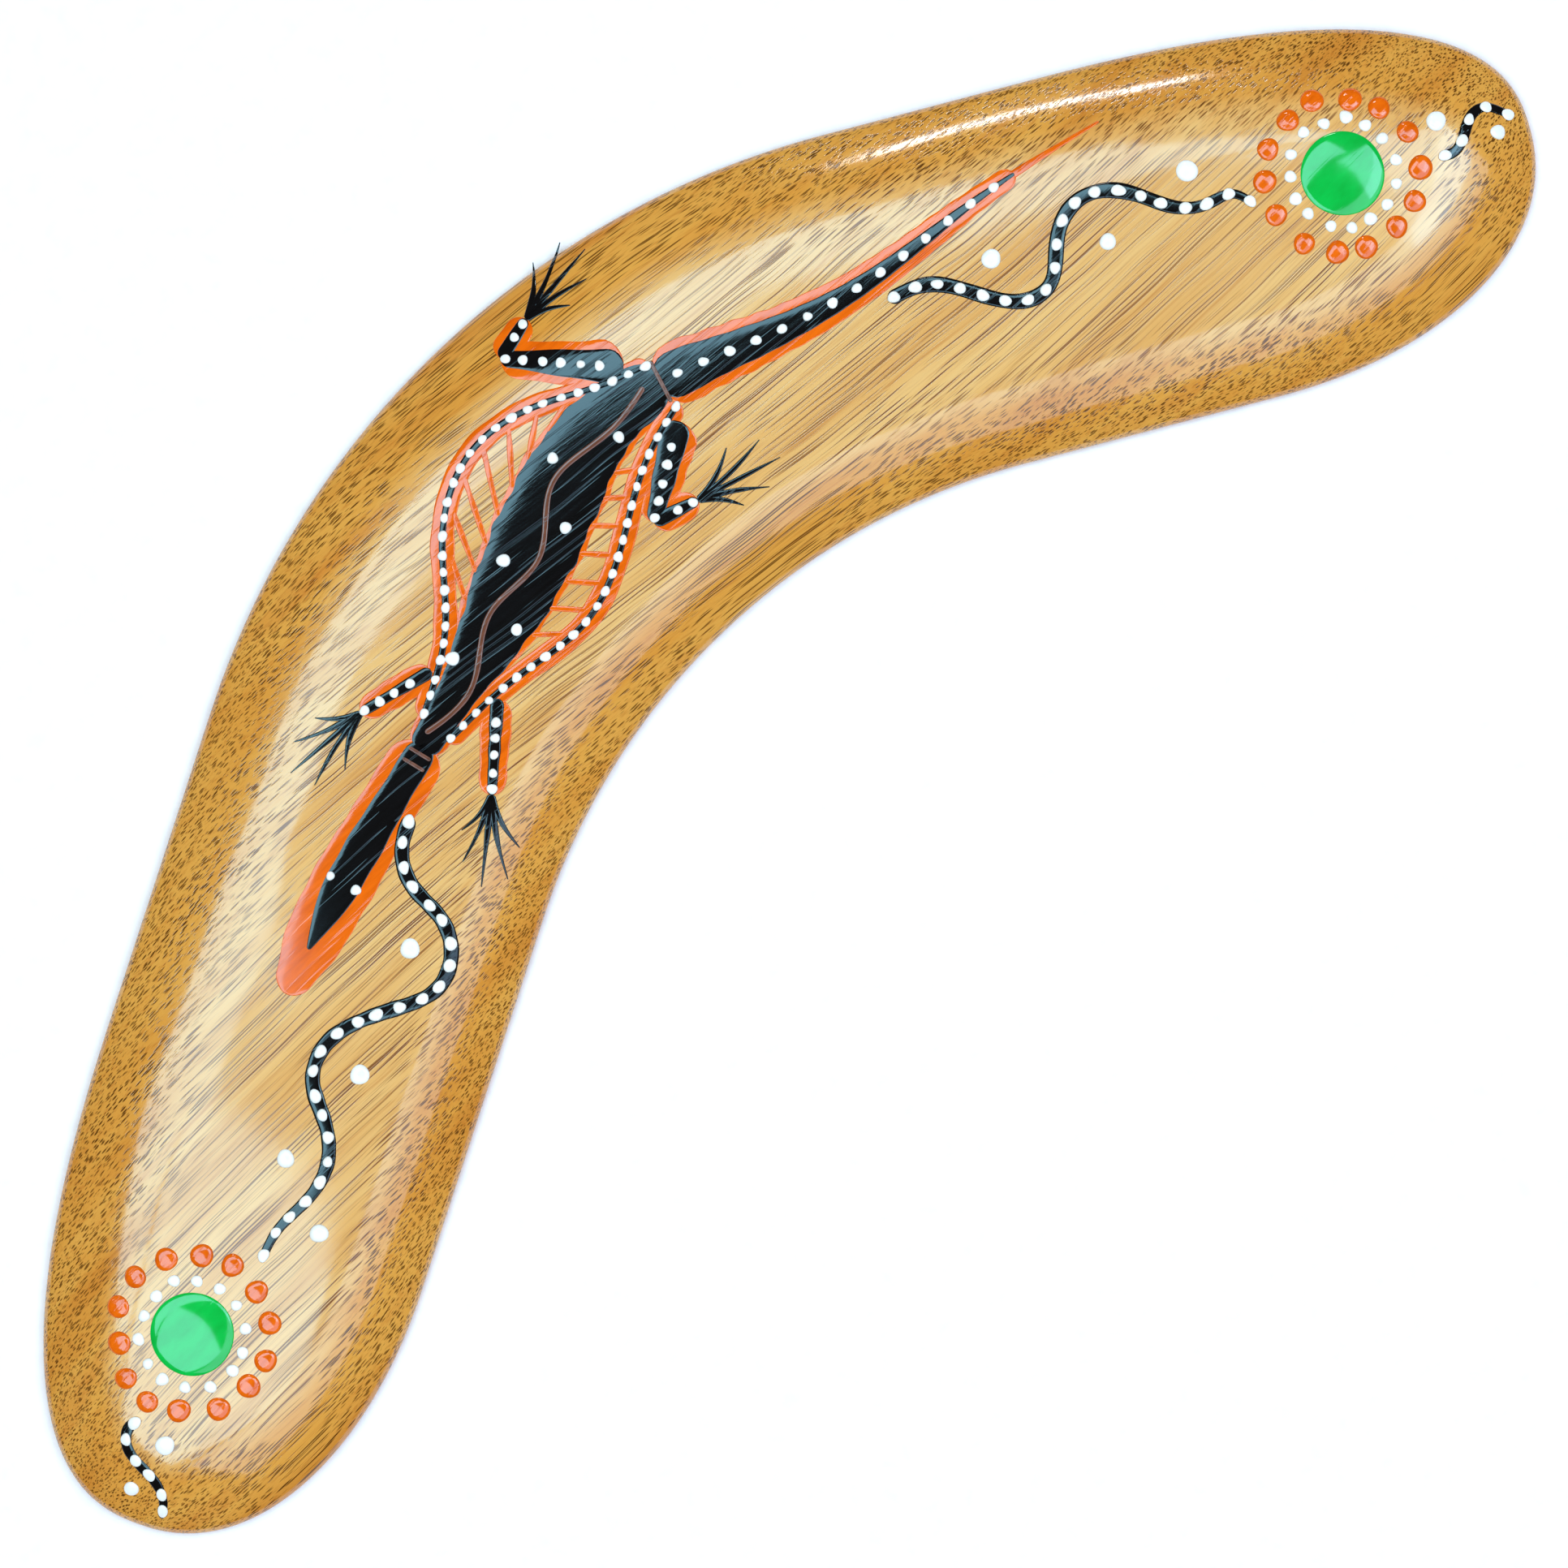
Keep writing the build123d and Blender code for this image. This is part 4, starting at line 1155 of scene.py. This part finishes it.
class BOOMERANG_OT_legs(bpy.types.Operator):
    """Paint the four legs with their outlines, toes and dots"""

    bl_idname = "boomerang.legs"
    bl_label = "Legs and toes"

    def execute(self, context):
        settings = context.scene.boomerang.blank
        for number, (name, (joints, widths)) in enumerate(LEGS.items()):
            outline, leg, toes, dots = Bundle(), Bundle(), Bundle(), Bundle()
            paths = leg_paths(name)
            for i, path in enumerate(paths):
                pair, seed = widths[i:i + 2], SEED_STEP * number + i
                add_stroke(outline, settings, path, grown(pair, OUTLINE_MARGIN), LEG_OUTLINE_COAT,
                           SEEDS["leg_outline"] + seed)
                add_stroke(leg, settings, path, pair, LEG_COAT, SEEDS["leg"] + seed)
            for i, path in enumerate(toe_paths(name, on_elbow(joints)[-1])):
                add_stroke(toes, settings, path, TOE_WIDTHS, TOE_COAT,
                           SEEDS["toes"] + SEED_STEP * number + i, wobble=FINE_WOBBLE)
            random = np.random.default_rng(SEEDS["leg_places"] + number)
            places = np.concatenate([self.dot_places(path, random) for path in paths])
            add_drops(dots, settings, places, LEG_DOT, SEEDS["leg_dots"] + number, BLACK_COAT)
            outline.piece(f"leg_outline_{name}", "orange")
            leg.piece(f"leg_{name}", "black")
            toes.piece(f"toes_{name}", "black")
            dots.piece(f"leg_dots_{name}", "white")
        return {"FINISHED"}

    @staticmethod
    def dot_places(path, random):
        """Dots along one stretch of a leg, counted back from its far end."""
        run = path.length - LEG_DOT_MARGIN
        count = max(2, round(run / LEG_PITCH))
        from_end = LEG_DOT_START + run * np.arange(count) / count
        return path.at(1 - from_end / path.length + random.normal(0, LEG_NUDGE, count))


class BOOMERANG_OT_lizard_lines(bpy.types.Operator):
    """Paint the brown line along the back and the bands at the neck and the hips"""

    bl_idname = "boomerang.lizard_lines"
    bl_label = "Brown lines"

    def execute(self, context):
        settings = context.scene.boomerang.blank
        bends = np.arange(LINE_BENDS)
        wave = SPINE.beside(np.linspace(NECK, HIP, LINE_BENDS), LINE_SWING * (-1.0) ** bends)
        line = Bundle()
        add_stroke(line, settings, Path(wave), LINE_WIDTHS, BROWN_COAT, SEEDS["back_line"],
                   *LINE_SPAN)
        line.piece("back_line", "brown")
        for name, (shares, reach) in BANDS.items():
            bands = Bundle()
            for share in shares:
                ends = SPINE.beside(np.array([share, share]), np.array([reach, -reach]))
                add_stroke(bands, settings, Path(ends), BAND_WIDTHS, BROWN_COAT, SEEDS[name])
            bands.piece(name, "brown")
        return {"FINISHED"}


class BOOMERANG_OT_lizard_dots(bpy.types.Operator):
    """Dot the lizard's back, tail and eyes"""

    bl_idname = "boomerang.lizard_dots"
    bl_label = "Lizard dots"

    def execute(self, context):
        settings = context.scene.boomerang.blank
        back, tail, eyes = Bundle(), Bundle(), Bundle()
        order = np.arange(BACK_COUNT)
        shares = NECK + (HIP - NECK) * (BACK_START + BACK_PITCH * order)
        places = SPINE.beside(shares, BACK_OFFSET * (-1.0) ** order)
        add_drops(back, settings, places, BACK_DOT, SEEDS["back_dots"], BLACK_COAT)
        shares = np.linspace(HIP + TAIL_MARGIN, TAIL_END - TAIL_MARGIN, TAIL_COUNT)
        add_drops(tail, settings, SPINE.at(shares), TAIL_DOT, SEEDS["tail_dots"], BLACK_COAT,
                  SPINE.heading(shares))
        places = SPINE.beside(np.array([EYES, EYES]), np.array([EYE_OFFSET, -EYE_OFFSET]))
        add_drops(eyes, settings, places, EYE_DOT, SEEDS["eye_dots"], BLACK_COAT)
        back.piece("back_dots", "white")
        tail.piece("tail_dots", "white")
        eyes.piece("eye_dots", "white")
        return {"FINISHED"}


# ==== stage ========================================================================
CAMERA_OVER = (-1.1 * MM, -30.6 * MM)
BOARD_REACH = 3.0
ROOM_TINT = "#fff0e0"
Lamp = namedtuple("Lamp", "glow tint place size aim turn", defaults=(None, 0.0))
LAMPS = {
    "window_long": Lamp("window_glow", "#a8e6ff", (-0.13, 0.42, 1.2), (1.2, 0.42),
                        turn=radians(-12.5)),
    "window_end": Lamp("window_glow", "#a8e6ff", (-0.57, -0.05, 1.2), (0.66, 0.6)),
    "window_right": Lamp("window_glow", "#a8e6ff", (0.62, -0.22, 1.2), (0.6, 0.56)),
    "edge_strip": Lamp("edge_glow", "#f4fbff", (0.667, 0.72, 0.7), (0.2, 0.06),
                       aim=(0.105, 0.012, 0.0)),
    "fill_panel": Lamp("fill_glow", "#b4dcff", (0.1, -0.52, 1.0), (1.6, 0.6),
                       aim=(0.0, -0.1, 0.0)),
    "ceiling": Lamp("ceiling_glow", "#ffb794", (0.0, -0.1, 1.5), (2.4, 2.4)),
}


class BOOMERANG_OT_stage(bpy.types.Operator):
    """Lay the floor, hang the lights and set the camera over the painted face"""

    bl_idname = "boomerang.stage"
    bl_label = "Stage"

    def execute(self, context):
        settings = context.scene.boomerang.stage
        self.lay_floor(context, settings)
        lamps = {name: self.hang(context, settings, name, lamp) for name, lamp in LAMPS.items()}
        lamps["ceiling"].visible_glossy = False
        world = bpy.data.worlds.new("studio")
        world.use_nodes = True
        background = world.node_tree.nodes["Background"]
        background.inputs[0].default_value = linear(ROOM_TINT)
        background.inputs[1].default_value = settings.room_glow
        context.scene.world = world
        context.scene.view_settings.view_transform = "Standard"
        self.set_camera(context, settings)
        return {"FINISHED"}

    @staticmethod
    def set_camera(context, settings):
        """Camera straight above the face, turned about the vertical."""
        camera = bpy.data.cameras.new("overhead_camera")
        camera.lens = camera.sensor_width * settings.camera_height / settings.view_width
        viewer = bpy.data.objects.new("overhead_camera", camera)
        viewer.location = (*CAMERA_OVER, settings.camera_height + RIM_HEIGHT * MM)
        viewer.rotation_euler = (0, 0, -settings.camera_turn)
        context.scene.collection.objects.link(viewer)
        context.scene.camera = viewer

    @staticmethod
    def lay_floor(context, settings):
        """Flat board, far larger than the view, at the height of the underside."""
        mesh = bpy.data.meshes.new("studio_board")
        corners = [(x * BOARD_REACH, y * BOARD_REACH, 0) for x, y in ((-1, -1), (1, -1), (1, 1), (-1, 1))]
        mesh.from_pydata(corners, [], [(0, 1, 2, 3)])
        mesh.materials.append(pale_floor(settings.floor_tone))
        floor = bpy.data.objects.new("studio_board", mesh)
        context.scene.collection.objects.link(floor)

    @staticmethod
    def hang(context, settings, name, lamp):
        """Rectangular soft light aimed at a point, or straight down and turned about the vertical.

        Its power is radiance * pi * area.
        """
        light = bpy.data.lights.new(name, "AREA")
        light.shape = "RECTANGLE"
        light.size, light.size_y = lamp.size
        light.energy = getattr(settings, lamp.glow) * pi * lamp.size[0] * lamp.size[1]
        light.color = linear(lamp.tint)[:3]
        hung = bpy.data.objects.new(name, light)
        hung.location = lamp.place
        hung.rotation_euler = (0, 0, lamp.turn)
        if lamp.aim:
            towards = Vector(lamp.aim) - Vector(lamp.place)
            hung.rotation_euler = towards.to_track_quat("-Z", "Y").to_euler()
        context.scene.collection.objects.link(hung)
        return hung


# ==== panel and registration =======================================================
class BOOMERANG_PT_panel(bpy.types.Panel):
    """Sidebar panel with one button for each piece or group of pieces"""

    bl_idname = "BOOMERANG_PT_panel"
    bl_label = "Boomerang"
    bl_space_type = "VIEW_3D"
    bl_region_type = "UI"
    bl_category = "Boomerang"

    def draw(self, context):
        for operator in OPERATORS:
            self.layout.operator(operator.bl_idname)


OPERATORS = (
    BOOMERANG_OT_blank,
    BOOMERANG_OT_discs,
    BOOMERANG_OT_rings,
    BOOMERANG_OT_tracks,
    BOOMERANG_OT_loose_dots,
    BOOMERANG_OT_lizard_body,
    BOOMERANG_OT_flanks,
    BOOMERANG_OT_legs,
    BOOMERANG_OT_lizard_lines,
    BOOMERANG_OT_lizard_dots,
    BOOMERANG_OT_stage,
)
CLASSES = (BlankSettings, PaintSettings, StageSettings, BoomerangSettings, *OPERATORS,
           BOOMERANG_PT_panel)


def register():
    """Adds the classes and the scene's settings."""
    for item in CLASSES:
        bpy.utils.register_class(item)
    bpy.types.Scene.boomerang = bpy.props.PointerProperty(type=BoomerangSettings)


def unregister():
    """Takes them away again."""
    del bpy.types.Scene.boomerang
    for item in reversed(CLASSES):
        bpy.utils.unregister_class(item)


def main():
    """Builds everything in order."""
    register()
    for operator in OPERATORS:
        group, name = operator.bl_idname.split(".")
        getattr(getattr(bpy.ops, group), name)()


if __name__ == "__main__":
    main()
